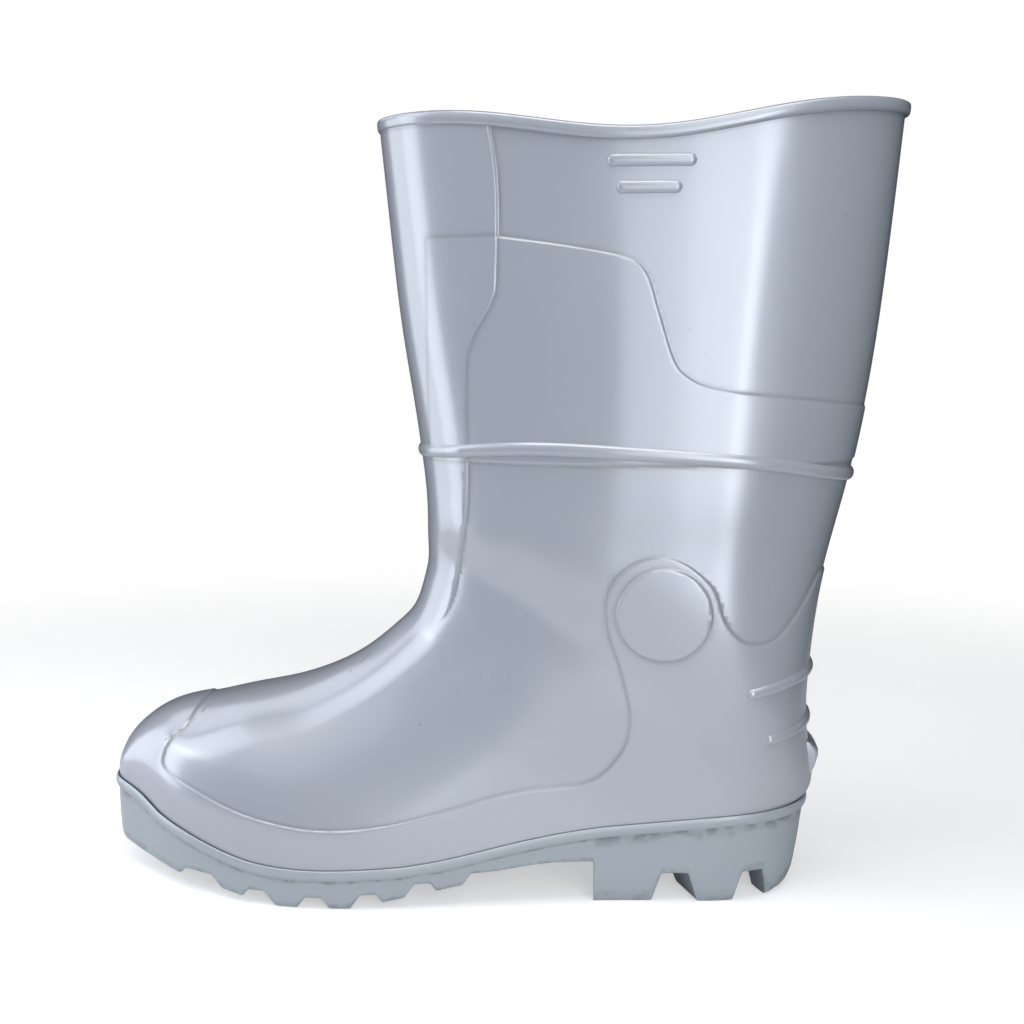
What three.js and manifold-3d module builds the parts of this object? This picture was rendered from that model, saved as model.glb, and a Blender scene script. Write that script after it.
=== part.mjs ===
import * as THREE from "three";
import { mergeVertices } from "three/addons/utils/BufferGeometryUtils.js";
import Module from "manifold-3d";

// Tall moulded work boot for the left foot. Millimetres, +Z up, toe towards -X, outer side
// of the foot towards -Y. X is 0 at the middle of the sole's length while it is worked out.

// Sizes that set the boot.
const soleLength = 290;
const ballWidth = 97;
const heelWidth = 71;
const heelHeight = 36.4;
const instepHeight = 110;
const ankleDepth = 153;
const shaftHeight = 308;
const shaftWidth = 85;
const collarDepth = 202;
const toeSwing = 8;

// Walls, steps and clearances.
const wall = 2.5;
const fitGap = 0.3;
const guardRise = 0.7;
const sidePanelRise = 0.6;
const frontPanelRise = 1.0;
const bandHeight = 5.2;
const bandRise = 1.8;
const beadHeight = 4.8;
const beadRise = 0.8;
const collarDip = 9.8;
const barThickness = 4.7;
const barRise = 1.5;
const discRadius = 18;
const discRise = 1.4;
const ribThickness = 4.4;
const ribRise = 1.8;
const spurWidth = 27;
const spurReach = 4.3;
const spurHeight = 13.5;
const footbedThickness = 4;
const rimProud = 2.3;
const rimHeight = 4.4;
const rimLand = 0.9;
const skirtTuck = 1.8;
const skirtTuckDrop = 2.2;
const lugDepth = 4.6;
const heelGrooveDepth = 12;
const grooveWidth = 13;
const toeGrooveWidth = 17;
const heelGrooveWidth = 18;
const treadPitch = 22;

// Places that follow the sizes.
const toeEnd = -soleLength / 2;
const heelEnd = soleLength / 2;
const vampLength = soleLength - ankleDepth;
const alongSole = (share) => toeEnd + share * soleLength;
const legAxis = alongSole(0.755);
const sideReach = ballWidth + shaftWidth;

// Sections fan from the toe to the collar. Each joins a point of the top and front line to
// a point of the sole's rim or the back line. Along is from the toe, up is from the floor.
const footColumns = ["top", "up", "base", "shift", "outTop", "outBase", "inTop", "inBase", "full", "crown"];
// top: share of the vamp's length; up: of the instep's height; base: of the sole's length;
// shift: of the toe's swing; widths: shares of the ball's width, out and in from the shifted
// line; full: share of the section at which it is full width.
const footSections = [
  [0.018, 0.347, 0.009, 1.00, 0.000, 0.000, 0.000, 0.000, 0.95, 2.40],
  [0.027, 0.405, 0.015, 1.00, 0.124, 0.124, 0.134, 0.134, 0.92, 2.40],
  [0.054, 0.477, 0.036, 1.00, 0.196, 0.201, 0.230, 0.242, 0.90, 2.40],
  [0.107, 0.544, 0.071, 0.98, 0.280, 0.287, 0.312, 0.325, 0.88, 2.40],
  [0.191, 0.600, 0.121, 0.90, 0.385, 0.404, 0.370, 0.392, 0.86, 2.40],
  [0.316, 0.642, 0.183, 0.75, 0.458, 0.490, 0.393, 0.423, 0.84, 2.35],
  [0.449, 0.675, 0.252, 0.63, 0.508, 0.546, 0.405, 0.433, 0.84, 2.30],
  [0.581, 0.716, 0.328, 0.56, 0.512, 0.568, 0.398, 0.425, 0.86, 2.25],
  [0.699, 0.772, 0.403, 0.52, 0.502, 0.554, 0.390, 0.400, 0.86, 2.20],
  [0.795, 0.840, 0.493, 0.45, 0.480, 0.511, 0.386, 0.355, 0.84, 2.15],
];
// As above, with the upper widths as shares of the shaft's and the lower ones of the heel's.
const ankleSections = [
  [0.876, 0.922, 0.603, 0.35, 0.527, 0.617, 0.461, 0.446, 0.78, 2.10],
  [0.938, 1.000, 0.734, 0.25, 0.518, 0.549, 0.471, 0.458, 0.70, 2.10],
  [0.972, 1.087, 0.872, 0.15, 0.508, 0.524, 0.480, 0.476, 0.62, 2.10],
  [0.992, 1.182, 0.992, 0.08, 0.501, 0.515, 0.487, 0.485, 0.56, 2.15],
];
// lean: of the section's middle, as a share of the ankle's depth; flare: from the ankle's
// depth to the collar's; front and back: shares of the height above instep and heel seat.
const shaftColumns = ["lean", "flare", "front", "back", "width", "full", "crown"];
const shaftSections = [
  [-0.044, -0.012, 0.152, 0.094, 0.459, 0.52, 2.20],
  [-0.043, -0.004, 0.202, 0.216, 0.488, 0.50, 2.20],
  [-0.030, 0.098, 0.253, 0.337, 0.497, 0.50, 2.20],
  [-0.007, 0.296, 0.313, 0.466, 0.506, 0.50, 2.20],
  [0.003, 0.492, 0.429, 0.588, 0.506, 0.50, 2.20],
  [0.001, 0.676, 0.586, 0.702, 0.506, 0.50, 2.20],
  [0.000, 0.840, 0.778, 0.845, 0.500, 0.50, 2.20],
  [-0.001, 0.996, 0.977, 1.000, 0.494, 0.50, 2.20],
];
const heelRow = footSections.length + ankleSections.length - 1;
const collarRow = heelRow + shaftSections.length;
const backCrown = 2.3;
const heelRoundsFrom = alongSole(0.838);
const legRoundsFrom = alongSole(0.748);

// Heights along the sole, as shares of its length and of the heel's height.
const rimLine = [
  [0.009, 1.033], [0.057, 0.950], [0.098, 0.805], [0.167, 0.635], [0.241, 0.486], [0.330, 0.440],
  [0.445, 0.473], [0.510, 0.552], [0.576, 0.670], [0.645, 0.783], [0.710, 0.863], [0.793, 0.929],
  [0.879, 0.997], [1.000, 1.030],
];
const seatLine = [
  [0.009, 0.600], [0.057, 0.550], [0.098, 0.500], [0.167, 0.430], [0.241, 0.380], [0.330, 0.352],
  [0.445, 0.385], [0.510, 0.465], [0.576, 0.583], [0.645, 0.697], [0.710, 0.777], [0.793, 0.843],
  [0.879, 0.910], [1.000, 0.940],
];
const treadLine = [
  [0.000, 0.440], [0.010, 0.340], [0.022, 0.280], [0.058, 0.225], [0.110, 0.178], [0.203, 0.100],
  [0.272, 0.000], [0.376, 0.000], [0.452, 0.112], [0.528, 0.230], [0.600, 0.110], [0.660, 0.000],
  [0.930, 0.000], [0.958, 0.030], [0.985, 0.120],
];
const archLine = [
  [0.528, 0.235], [0.538, 0.365], [0.577, 0.385], [0.619, 0.440], [0.650, 0.462], [0.696, 0.465],
];
const heelBreast = alongSole(0.703);

const wasm = await Module();
wasm.setup();

// A natural cubic spline through one value for each row.
function naturalSpline(values) {
  const last = values.length - 1;
  const bend = new Array(last + 1).fill(0);
  const carry = new Array(last + 1).fill(0);
  for (let i = 1; i < last; i += 1) {
    const pull = 3 * (values[i + 1] - 2 * values[i] + values[i - 1]);
    const share = 1 / (4 - carry[i - 1]);
    carry[i] = share;
    bend[i] = (pull - bend[i - 1]) * share;
  }
  for (let i = last - 1; i > 0; i -= 1) bend[i] -= carry[i] * bend[i + 1];
  return (at) => {
    const i = Math.min(Math.max(Math.floor(at), 0), last - 1);
    const u = at - i;
    const slope = values[i + 1] - values[i] - (2 * bend[i] + bend[i + 1]) / 3;
    return values[i] + u * (slope + u * (bend[i] + (u * (bend[i + 1] - bend[i])) / 3));
  };
}

// Height along the sole, straight or smooth between a table's rows.
function heightAlong(line, smooth = true) {
  const xs = line.map(([share]) => alongSole(share));
  const heights = naturalSpline(line.map(([, share]) => share * heelHeight));
  const rows = line.length - 1;
  return (x) => {
    let i = 0;
    while (i < rows - 1 && x > xs[i + 1]) i += 1;
    const u = THREE.MathUtils.clamp((x - xs[i]) / (xs[i + 1] - xs[i]), 0, 1);
    if (smooth) return heights(i + u);
    return heelHeight * THREE.MathUtils.lerp(line[i][1], line[i + 1][1], u);
  };
}

const rimHeightAt = heightAlong(rimLine);
const seatHeightAt = heightAlong(seatLine);
const treadHeightAt = heightAlong(treadLine, false);

function namedRow(columns, row) {
  return Object.fromEntries(columns.map((name, i) => [name, row[i]]));
}

function footRow(row, upperWidth, lowerWidth) {
  const cell = namedRow(footColumns, row);
  const baseX = alongSole(cell.base);
  return {
    topX: toeEnd + cell.top * vampLength,
    topZ: cell.up * instepHeight,
    baseX,
    baseZ: rimHeightAt(baseX),
    shift: cell.shift * toeSwing,
    outTop: cell.outTop * upperWidth,
    outBase: cell.outBase * lowerWidth,
    inTop: cell.inTop * upperWidth,
    inBase: cell.inBase * lowerWidth,
    full: cell.full,
    crown: cell.crown,
  };
}

function shaftRow(row) {
  const cell = namedRow(shaftColumns, row);
  const depth = ankleDepth + cell.flare * (collarDepth - ankleDepth);
  const middle = legAxis + cell.lean * ankleDepth;
  const halfWidth = cell.width * shaftWidth;
  return {
    topX: middle - depth / 2,
    topZ: instepHeight + cell.front * (shaftHeight - instepHeight),
    baseX: middle + depth / 2,
    baseZ: heelHeight + cell.back * (shaftHeight - heelHeight),
    shift: 0,
    outTop: halfWidth,
    outBase: halfWidth,
    inTop: halfWidth,
    inBase: halfWidth,
    full: cell.full,
    crown: cell.crown,
  };
}

const sectionRows = [
  ...footSections.map((row) => footRow(row, ballWidth, ballWidth)),
  ...ankleSections.map((row) => footRow(row, shaftWidth, heelWidth)),
  ...shaftSections.map(shaftRow),
];
const sectionSplines = Object.keys(sectionRows[0]).map((name) => [
  name,
  naturalSpline(sectionRows.map((row) => row[name])),
]);

function sectionAt(row) {
  const section = Object.fromEntries(sectionSplines.map(([name, spline]) => [name, spline(row)]));
  if (row < heelRow) section.baseZ = rimHeightAt(section.baseX);
  return section;
}

const backRows = [];
for (let row = heelRow; row <= collarRow + 0.01; row += 0.1) backRows.push(sectionAt(row));

function backXAt(z) {
  let i = 0;
  while (i < backRows.length - 2 && z > backRows[i + 1].baseZ) i += 1;
  const below = backRows[i];
  const above = backRows[i + 1];
  const u = THREE.MathUtils.clamp((z - below.baseZ) / (above.baseZ - below.baseZ), 0, 1);
  return THREE.MathUtils.lerp(below.baseX, above.baseX, u);
}

const crownCurve = (fall, power) => (1 - THREE.MathUtils.clamp(fall, 0, 1) ** power) ** (1 / power);

// One side of a section, from the top or front line down to the rim or round to the back.
function sidePoints(row, side, count) {
  const cut = sectionAt(row);
  const closing = THREE.MathUtils.smoothstep(row, heelRow - 4, heelRow);
  const top = side < 0 ? cut.outTop : cut.inTop;
  const base = side < 0 ? cut.outBase : cut.inBase;
  const line = [];
  for (let i = 0; i <= count; i += 1) {
    const turn = i / count;
    const open = 1 - Math.cos((Math.PI / 2) * turn);
    const round = (1 - Math.cos(Math.PI * turn)) / 2;
    const s = THREE.MathUtils.lerp(open, round, closing);
    const x = THREE.MathUtils.lerp(cut.topX, cut.baseX, s);
    const z = THREE.MathUtils.lerp(cut.topZ, cut.baseZ, s);
    const leg = THREE.MathUtils.smoothstep(z, 0.195 * shaftHeight, 0.487 * shaftHeight);
    const roundsFrom = THREE.MathUtils.lerp(heelRoundsFrom, legRoundsFrom, leg);
    const back = row >= heelRow && i === count ? 1 : (x - roundsFrom) / (backXAt(z) - roundsFrom);
    const fullness = crownCurve(1 - s / cut.full, cut.crown) * crownCurve(back, backCrown);
    const halfWidth = THREE.MathUtils.lerp(top, base, THREE.MathUtils.smoothstep(s, 0, 1));
    line.push(new THREE.Vector3(x, cut.shift + side * halfWidth * fullness, z));
  }
  return line;
}

// Vertices shared by place, with the skin's faces kept apart from the lids that close it.
class Shell {
  constructor() {
    this.points = [];
    this.skin = [];
    this.lids = [];
    this.known = new Map();
  }

  vertex(point) {
    const key = point.toArray().map((value) => Math.round(value * 1e4)).join(" ");
    if (!this.known.has(key)) {
      this.known.set(key, this.points.length);
      this.points.push(point.clone());
    }
    return this.known.get(key);
  }

  face(list, a, b, c) {
    const corners = [a, b, c].map((point) => this.vertex(point));
    if (new Set(corners).size === 3) list.push(corners);
  }

  quad(list, a, b, c, d) {
    const firstWay = a.distanceTo(c) <= b.distanceTo(d);
    this.face(list, a, b, firstWay ? c : d);
    this.face(list, firstWay ? a : b, c, d);
  }

  strip(list, first, second) {
    for (let i = 1; i < first.length; i += 1) this.quad(list, first[i], first[i - 1], second[i - 1], second[i]);
  }

  // Moves every vertex out along the skin's normal there.
  grow(distance) {
    const normals = this.points.map(() => new THREE.Vector3());
    const triangle = new THREE.Triangle();
    const normal = new THREE.Vector3();
    for (const corners of this.skin) {
      triangle.set(...corners.map((corner) => this.points[corner]));
      triangle.getNormal(normal).multiplyScalar(triangle.getArea());
      for (const corner of corners) normals[corner].add(normal);
    }
    this.points.forEach((point, i) => point.addScaledVector(normals[i].normalize(), distance));
  }

  solid() {
    const vertProperties = new Float32Array(this.points.flatMap((point) => point.toArray()));
    const triVerts = new Uint32Array([...this.skin, ...this.lids].flat());
    return new wasm.Manifold(new wasm.Mesh({ numProp: 3, vertProperties, triVerts }));
  }
}

function stationsUpTo(lastRow, perRow) {
  const stations = [];
  for (let row = 0; row < lastRow; row += 1) {
    const steps = row === 0 || row === heelRow - 1 ? perRow * 2 : perRow;
    for (let i = 0; i < steps; i += 1) {
      const u = i / steps;
      stations.push(row + (row === heelRow - 1 ? Math.sin((u * Math.PI) / 2) : u));
    }
  }
  return [...stations, lastRow];
}

// Which way is out, seen from above, at each point of one side's rim.
function waysOut(edge, side) {
  const last = edge.length - 1;
  return edge.map((point, i) => {
    if (i === 0) return new THREE.Vector3(-1, 0, 0);
    if (i === last) return new THREE.Vector3(1, 0, 0);
    const along = new THREE.Vector3().subVectors(edge[i + 1], edge[i - 1]);
    return new THREE.Vector3(along.y, -along.x, 0).multiplyScalar(-side).normalize();
  });
}

// The whole boot as one closed form, grown outwards from the outside of its plain wall.
// It runs on below the rim and above the collar, where other pieces trim it.
function form(growth, perRow = 2, count = 12) {
  const shell = new Shell();
  const overrun = heelHeight * 0.85;
  const aboveCollar = new THREE.Vector3(0, 0, heelHeight);
  const loops = stationsUpTo(collarRow, perRow).map((row) => ({
    row,
    outer: sidePoints(row, -1, count),
    inner: sidePoints(row, 1, count),
  }));
  for (let i = 1; i < loops.length; i += 1) {
    shell.strip(shell.skin, loops[i].outer, loops[i - 1].outer);
    shell.strip(shell.skin, loops[i - 1].inner, loops[i].inner);
  }
  const foot = loops.filter((loop) => loop.row <= heelRow);
  const skirts = [-1, 1].map((side) => {
    const edge = foot.map((loop) => (side < 0 ? loop.outer : loop.inner)[count]);
    const outs = waysOut(edge, side);
    const tucked = edge.map((point, i) => point.clone().addScaledVector(outs[i], -skirtTuck));
    return [
      edge,
      tucked.map((point) => new THREE.Vector3(point.x, point.y, point.z - skirtTuckDrop)),
      tucked.map((point) => new THREE.Vector3(point.x, point.y, point.z - overrun)),
    ];
  });
  const [outerSkirt, innerSkirt] = skirts.map((rings) => rings[rings.length - 1]);
  for (let i = 1; i < skirts[0].length; i += 1) {
    shell.strip(shell.skin, skirts[0][i - 1], skirts[0][i]);
    shell.strip(shell.skin, skirts[1][i], skirts[1][i - 1]);
  }
  shell.strip(shell.lids, outerSkirt, innerSkirt);
  const collar = loops[loops.length - 1];
  const outerTop = collar.outer.map((point) => point.clone().add(aboveCollar));
  const innerTop = collar.inner.map((point) => point.clone().add(aboveCollar));
  shell.strip(shell.skin, outerTop, collar.outer);
  shell.strip(shell.skin, collar.inner, innerTop);
  shell.strip(shell.lids, innerTop, outerTop);
  shell.grow(growth);
  return shell.solid();
}

// The largest body of a cut solid, without the specks and slivers that rounding leaves behind.
const finest = 0.06;

function mainBody(solid) {
  const bodies = solid.simplify(finest).decompose();
  return bodies.reduce((best, body) => (body.volume() > best.volume() ? body : best));
}

function solidOf(geometry) {
  const plain = geometry.clone();
  plain.deleteAttribute("normal");
  plain.deleteAttribute("uv");
  const merged = mergeVertices(plain, 1e-4);
  const mesh = new wasm.Mesh({
    numProp: 3,
    vertProperties: merged.attributes.position.array,
    triVerts: Uint32Array.from(merged.index.array),
  });
  return new wasm.Manifold(mesh);
}

// A side-view shape, drawn with X along and Z up, run right through the boot.
function throughBoot(shape, halfReach = sideReach, curveSegments = 8) {
  const geometry = new THREE.ExtrudeGeometry(shape, {
    depth: 2 * halfReach,
    bevelEnabled: false,
    curveSegments,
    steps: 1,
  });
  geometry.rotateX(Math.PI / 2);
  geometry.translate(0, halfReach, 0);
  return solidOf(geometry);
}

const sideView = (points) => points.map(([along, up]) => new THREE.Vector2(alongSole(along), up * shaftHeight));

function barShape(from, to, thickness) {
  const along = new THREE.Vector2().subVectors(to, from);
  const lean = along.angle();
  const shape = new THREE.Shape();
  shape.absarc(from.x, from.y, thickness / 2, lean + Math.PI / 2, lean + 1.5 * Math.PI, false);
  shape.absarc(to.x, to.y, thickness / 2, lean - Math.PI / 2, lean + Math.PI / 2, false);
  return shape;
}

// Collar, band and panels, seen from the side as shares of sole length and shaft height.
const collarFront = sectionAt(collarRow).topX;
const collarBack = sectionAt(collarRow).baseX;
const collarFrontZ = sectionAt(collarRow).topZ;

function collarHeightAt(x) {
  const u = THREE.MathUtils.clamp((x - collarFront) / (collarBack - collarFront), -0.1, 1.1);
  return THREE.MathUtils.lerp(collarFrontZ, shaftHeight, u) - collarDip * Math.sin(Math.PI * u) ** 3;
}

function collarStrip(from, to) {
  const steps = 24;
  const low = [];
  const high = [];
  for (let i = 0; i <= steps; i += 1) {
    const x = THREE.MathUtils.lerp(collarFront - wall * 3, collarBack + wall * 3, i / steps);
    low.push(new THREE.Vector2(x, collarHeightAt(x) + from));
    high.push(new THREE.Vector2(x, collarHeightAt(x) + to));
  }
  return throughBoot(new THREE.Shape([...low, ...high.reverse()]));
}

const frontPanelLine = [
  [0.560, 0.975], [0.572, 0.900], [0.572, 0.790], [0.566, 0.757], [0.540, 0.712], [0.531, 0.670],
  [0.531, 0.520], [0.520, 0.441], [0.507, 0.380], [0.488, 0.352], [0.455, 0.345],
];
const sidePanelLine = [
  [0.570, 0.834], [0.660, 0.822], [0.735, 0.808], [0.762, 0.790], [0.778, 0.745], [0.797, 0.690],
  [0.815, 0.668], [0.850, 0.654], [0.930, 0.643], [1.060, 0.628],
];
const bandLine = [
  [0.420, 0.566], [0.500, 0.572], [0.628, 0.580], [0.790, 0.573], [0.917, 0.563], [1.010, 0.548], [1.080, 0.536],
];
const guardLine = [
  [0.139, 0.240], [0.131, 0.211], [0.116, 0.195], [0.105, 0.175], [0.109, 0.156], [0.150, 0.140],
  [0.240, 0.114], [0.340, 0.101], [0.445, 0.110], [0.590, 0.145], [0.690, 0.158], [0.735, 0.195],
  [0.750, 0.240], [0.738, 0.300], [0.719, 0.360], [0.722, 0.412], [0.760, 0.444], [0.808, 0.445],
  [0.852, 0.412], [0.870, 0.368], [0.897, 0.341], [0.937, 0.341], [0.972, 0.376], [1.000, 0.420],
];
const discCentre = new THREE.Vector2(alongSole(0.791), 0.377 * shaftHeight);
const bars = [
  { from: [0.718, 0.921], to: [0.816, 0.921] },
  { from: [0.731, 0.890], to: [0.799, 0.890] },
];
const pastHeel = 1.020;
const ribs = [
  { from: [0.908, 0.276], to: [pastHeel, 0.297] },
  { from: [0.895, 0.206], to: [pastHeel, 0.231] },
];
const sidePanelFrom = 0.480;
const sidePanelFoot = 0.562;

function followed(shape, line, divisions) {
  const points = new THREE.SplineCurve(sideView(line)).getPoints(divisions);
  points.forEach((point) => shape.lineTo(point.x, point.y));
}

function frontPanelPrism() {
  const shape = new THREE.Shape();
  const [top, foot] = [frontPanelLine[0], frontPanelLine[frontPanelLine.length - 1]];
  const aboveCollar = shaftHeight * 1.1;
  shape.moveTo(toeEnd, foot[1] * shaftHeight);
  shape.lineTo(toeEnd, aboveCollar);
  shape.lineTo(alongSole(top[0]), aboveCollar);
  followed(shape, frontPanelLine, 26);
  return throughBoot(shape);
}

function sidePanelPrism() {
  const shape = new THREE.Shape();
  const [front, back] = [sidePanelLine[0], sidePanelLine[sidePanelLine.length - 1]];
  const low = sidePanelFoot * shaftHeight;
  shape.moveTo(alongSole(sidePanelFrom), low);
  shape.lineTo(alongSole(sidePanelFrom), front[1] * shaftHeight);
  followed(shape, sidePanelLine, 26);
  shape.lineTo(alongSole(back[0]), low);
  return throughBoot(shape);
}

function bandPrism() {
  const middle = new THREE.SplineCurve(sideView(bandLine)).getPoints(18);
  const lifted = (by) => middle.map((point) => new THREE.Vector2(point.x, point.y + by));
  return throughBoot(new THREE.Shape([...lifted(-bandHeight / 2), ...lifted(bandHeight / 2).reverse()]));
}

function guardPrism() {
  const shape = new THREE.Shape();
  const [front, back] = [guardLine[0], guardLine[guardLine.length - 1]];
  shape.moveTo(toeEnd - ballWidth, -heelHeight);
  shape.lineTo(toeEnd - ballWidth, front[1] * shaftHeight);
  followed(shape, guardLine, 60);
  shape.lineTo(heelEnd + ballWidth, back[1] * shaftHeight);
  shape.lineTo(heelEnd + ballWidth, -heelHeight);
  return throughBoot(shape);
}

// The ledge at the back that the other foot holds down to take the boot off: its profile as
// shares out and up, and how much of its reach is left across its width.
const spurProfile = [[-0.6, 0], [0, 0], [0.7, 0.35], [0.96, 0.62], [1, 0.8], [0, 1.08], [-0.6, 1.08]];
const spurCuts = [[-1, 0.62], [-0.9, 0.84], [-0.6, 0.96], [0, 1], [0.6, 0.96], [0.9, 0.84], [1, 0.62]];
const spurSunk = 1;
const spurFoot = 1.24;

function spur() {
  const face = heelEnd - spurSunk;
  const low = heelHeight * spurFoot;
  const loops = spurCuts.map(([across, reach]) => spurProfile.map(([out, up]) => new THREE.Vector3(
    face + (out > 0 ? out * reach : out) * spurReach,
    (across * spurWidth) / 2,
    low + up * spurHeight,
  )));
  const closed = (loop) => [...loop, loop[0]];
  const shell = new Shell();
  for (let i = 1; i < loops.length; i += 1) shell.strip(shell.skin, closed(loops[i - 1]), closed(loops[i]));
  const near = loops[0];
  const far = loops[loops.length - 1];
  for (let i = 2; i < near.length; i += 1) {
    shell.face(shell.lids, near[0], near[i - 1], near[i]);
    shell.face(shell.lids, far[0], far[i], far[i - 1]);
  }
  return shell.solid();
}

function raised(growth, prism) {
  return form(growth).intersect(prism);
}

// The seat's line from ahead of the toe to behind the heel, lifted.
const seatEnds = [-0.06, 1.06];

function seatPoints(lift) {
  const steps = 40;
  const points = [];
  for (let i = 0; i <= steps; i += 1) {
    const x = alongSole(THREE.MathUtils.lerp(seatEnds[0], seatEnds[1], i / steps));
    points.push(new THREE.Vector2(x, seatHeightAt(x) + lift));
  }
  return points;
}

// Trims the form between the sole's seat and the collar.
function betweenSeatAndCollar() {
  const steps = 40;
  const low = seatPoints(fitGap);
  const high = [];
  for (let i = 0; i <= steps / 2; i += 1) {
    const x = THREE.MathUtils.lerp(collarFront - wall * 3, collarBack + wall * 3, i / (steps / 2));
    high.push(new THREE.Vector2(x, collarHeightAt(x)));
  }
  return throughBoot(new THREE.Shape([...low, ...high.reverse()]));
}

function upperSolid() {
  const disc = new THREE.Shape().absarc(discCentre.x, discCentre.y, discRadius, 0, 2 * Math.PI, false);
  const straps = (list, thickness) => list.map(({ from, to }) => {
    const [start, end] = sideView([from, to]);
    return throughBoot(barShape(start, end, thickness), sideReach, 4);
  });
  const barPrisms = straps(bars, barThickness).reduce((all, one) => all.add(one));
  const ribPrisms = straps(ribs, ribThickness).reduce((all, one) => all.add(one));
  const outside = form(0)
    .add(raised(guardRise, guardPrism()))
    .add(raised(sidePanelRise, sidePanelPrism()))
    .add(raised(frontPanelRise, frontPanelPrism()))
    .add(raised(discRise, throughBoot(disc, sideReach, 12)))
    .add(raised(barRise, barPrisms))
    .add(raised(ribRise, ribPrisms))
    .add(raised(bandRise, bandPrism()))
    .add(raised(frontPanelRise + beadRise, collarStrip(-beadHeight, beadHeight)))
    .add(spur());
  return mainBody(outside.intersect(betweenSeatAndCollar()).subtract(form(-wall)));
}

// The rim's line at the foot of the form in plan, with the way out at each of its points.
function rimLineOf(side) {
  const edge = stationsUpTo(heelRow, 2).map((row) => sidePoints(row, side, 1)[1]);
  const outs = waysOut(edge, side);
  return edge.map((point, i) => ({ point, out: outs[i] }));
}

const rim = { outer: rimLineOf(-1), inner: rimLineOf(1) };

// A ring round the rim, its distance out and its height given by functions of X.
function ringAt(outAt, heightAt) {
  const placed = ({ point, out }) => point.clone().addScaledVector(out, outAt(point.x)).setZ(heightAt(point.x));
  return { outer: rim.outer.map(placed), inner: rim.inner.map(placed) };
}

function stackOf(rings) {
  const shell = new Shell();
  const first = rings[0];
  const last = rings[rings.length - 1];
  for (let i = 1; i < rings.length; i += 1) {
    shell.strip(shell.skin, rings[i - 1].outer, rings[i].outer);
    shell.strip(shell.skin, rings[i].inner, rings[i - 1].inner);
  }
  shell.strip(shell.lids, last.outer, last.inner);
  shell.strip(shell.lids, first.inner, first.outer);
  return shell.solid();
}

// Rings of the sole's side: how far out from the rim's line, and where from rim to tread.
const soleSide = [
  { out: guardRise + fitGap + rimLand, drop: 0, level: 1 },
  { out: rimProud, drop: rimHeight * 0.3, level: 1 },
  { out: rimProud * 0.95, drop: rimHeight * 0.75, level: 1 },
  { out: rimProud * 0.45, drop: rimHeight, level: 1 },
  { out: rimProud * 0.4, drop: 0, level: 0.45 },
  { out: rimProud * 0.2, drop: 0, level: 0.1 },
  { out: -rimProud * 0.2, drop: 0, level: 0 },
];
const toeDraft = 0;
const heelDraft = 0.12;

function soleBlank() {
  return stackOf(soleSide.map(({ out, drop, level }) => {
    const heightAt = (x) => THREE.MathUtils.lerp(treadHeightAt(x), rimHeightAt(x), level) - drop;
    const draftAt = (x) => THREE.MathUtils.mapLinear(x, toeEnd, heelEnd, toeDraft, heelDraft);
    const outAt = (x) => out - draftAt(x) * (rimHeightAt(x) - heightAt(x));
    return ringAt(outAt, heightAt);
  }));
}

// A groove across the tread that points to the toe at its middle.
const chevronSlope = 0.4;
const chevronFlat = 14;

function groove(atEdge, edgeY, width, depth, slant) {
  const shell = new Shell();
  const low = treadHeightAt(atEdge);
  const narrow = width / 2 - slant * depth;
  const wide = width / 2 + slant * depth;
  const cuts = [-sideReach, -chevronFlat, chevronFlat, sideReach].map((y) => {
    const middle = atEdge - chevronSlope * (edgeY - Math.max(Math.abs(y), chevronFlat));
    const corner = (half, z) => new THREE.Vector3(middle + half, y, z);
    return [
      corner(-wide, low - depth),
      corner(-narrow, low + depth),
      corner(narrow, low + depth),
      corner(wide, low - depth),
    ];
  });
  const closed = (cut) => [...cut, cut[0]];
  for (let i = 1; i < cuts.length; i += 1) shell.strip(shell.skin, closed(cuts[i]), closed(cuts[i - 1]));
  const [a, b, c, d] = cuts[0];
  const [e, f, g, h] = cuts[cuts.length - 1];
  shell.quad(shell.lids, d, c, b, a);
  shell.quad(shell.lids, e, f, g, h);
  return shell.solid();
}

const archLead = 1;

function archPrism() {
  const points = archLine.map(([along, up]) => new THREE.Vector2(alongSole(along), up * heelHeight));
  const front = points[0].x - archLead;
  return throughBoot(new THREE.Shape([
    new THREE.Vector2(front, -heelHeight),
    new THREE.Vector2(front, 0),
    ...points,
    new THREE.Vector2(heelBreast, 0),
    new THREE.Vector2(heelBreast, -heelHeight),
  ]));
}

function seatPrism() {
  const above = 3 * heelHeight;
  return throughBoot(new THREE.Shape([
    ...seatPoints(0),
    new THREE.Vector2(alongSole(seatEnds[1]), above),
    new THREE.Vector2(alongSole(seatEnds[0]), above),
  ]));
}

const forefootGrooves = 5;
const firstGroove = alongSole(0.172);
const heelGrooves = [0.809, 0.925].map(alongSole);
const forefootSlant = 0.7;
const heelSlant = 0.32;

function outsoleSolid() {
  let sole = soleBlank().subtract(archPrism());
  for (let i = 0; i < forefootGrooves; i += 1) {
    const width = i === 0 ? toeGrooveWidth : grooveWidth;
    const atEdge = firstGroove + i * treadPitch;
    sole = sole.subtract(groove(atEdge, ballWidth / 2, width, lugDepth, forefootSlant));
  }
  for (const x of heelGrooves) {
    sole = sole.subtract(groove(x, heelWidth / 2, heelGrooveWidth, heelGrooveDepth, heelSlant));
  }
  return mainBody(sole.subtract(form(guardRise + fitGap).intersect(seatPrism())));
}

// The loose footbed that lies on the sole inside the upper.
function insoleSolid() {
  const outAt = () => -wall - skirtTuck - 2 * fitGap;
  const top = ringAt(outAt, (x) => seatHeightAt(x) + fitGap + footbedThickness);
  const bottom = ringAt(outAt, (x) => seatHeightAt(x) + fitGap);
  return stackOf([top, bottom]);
}

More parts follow.
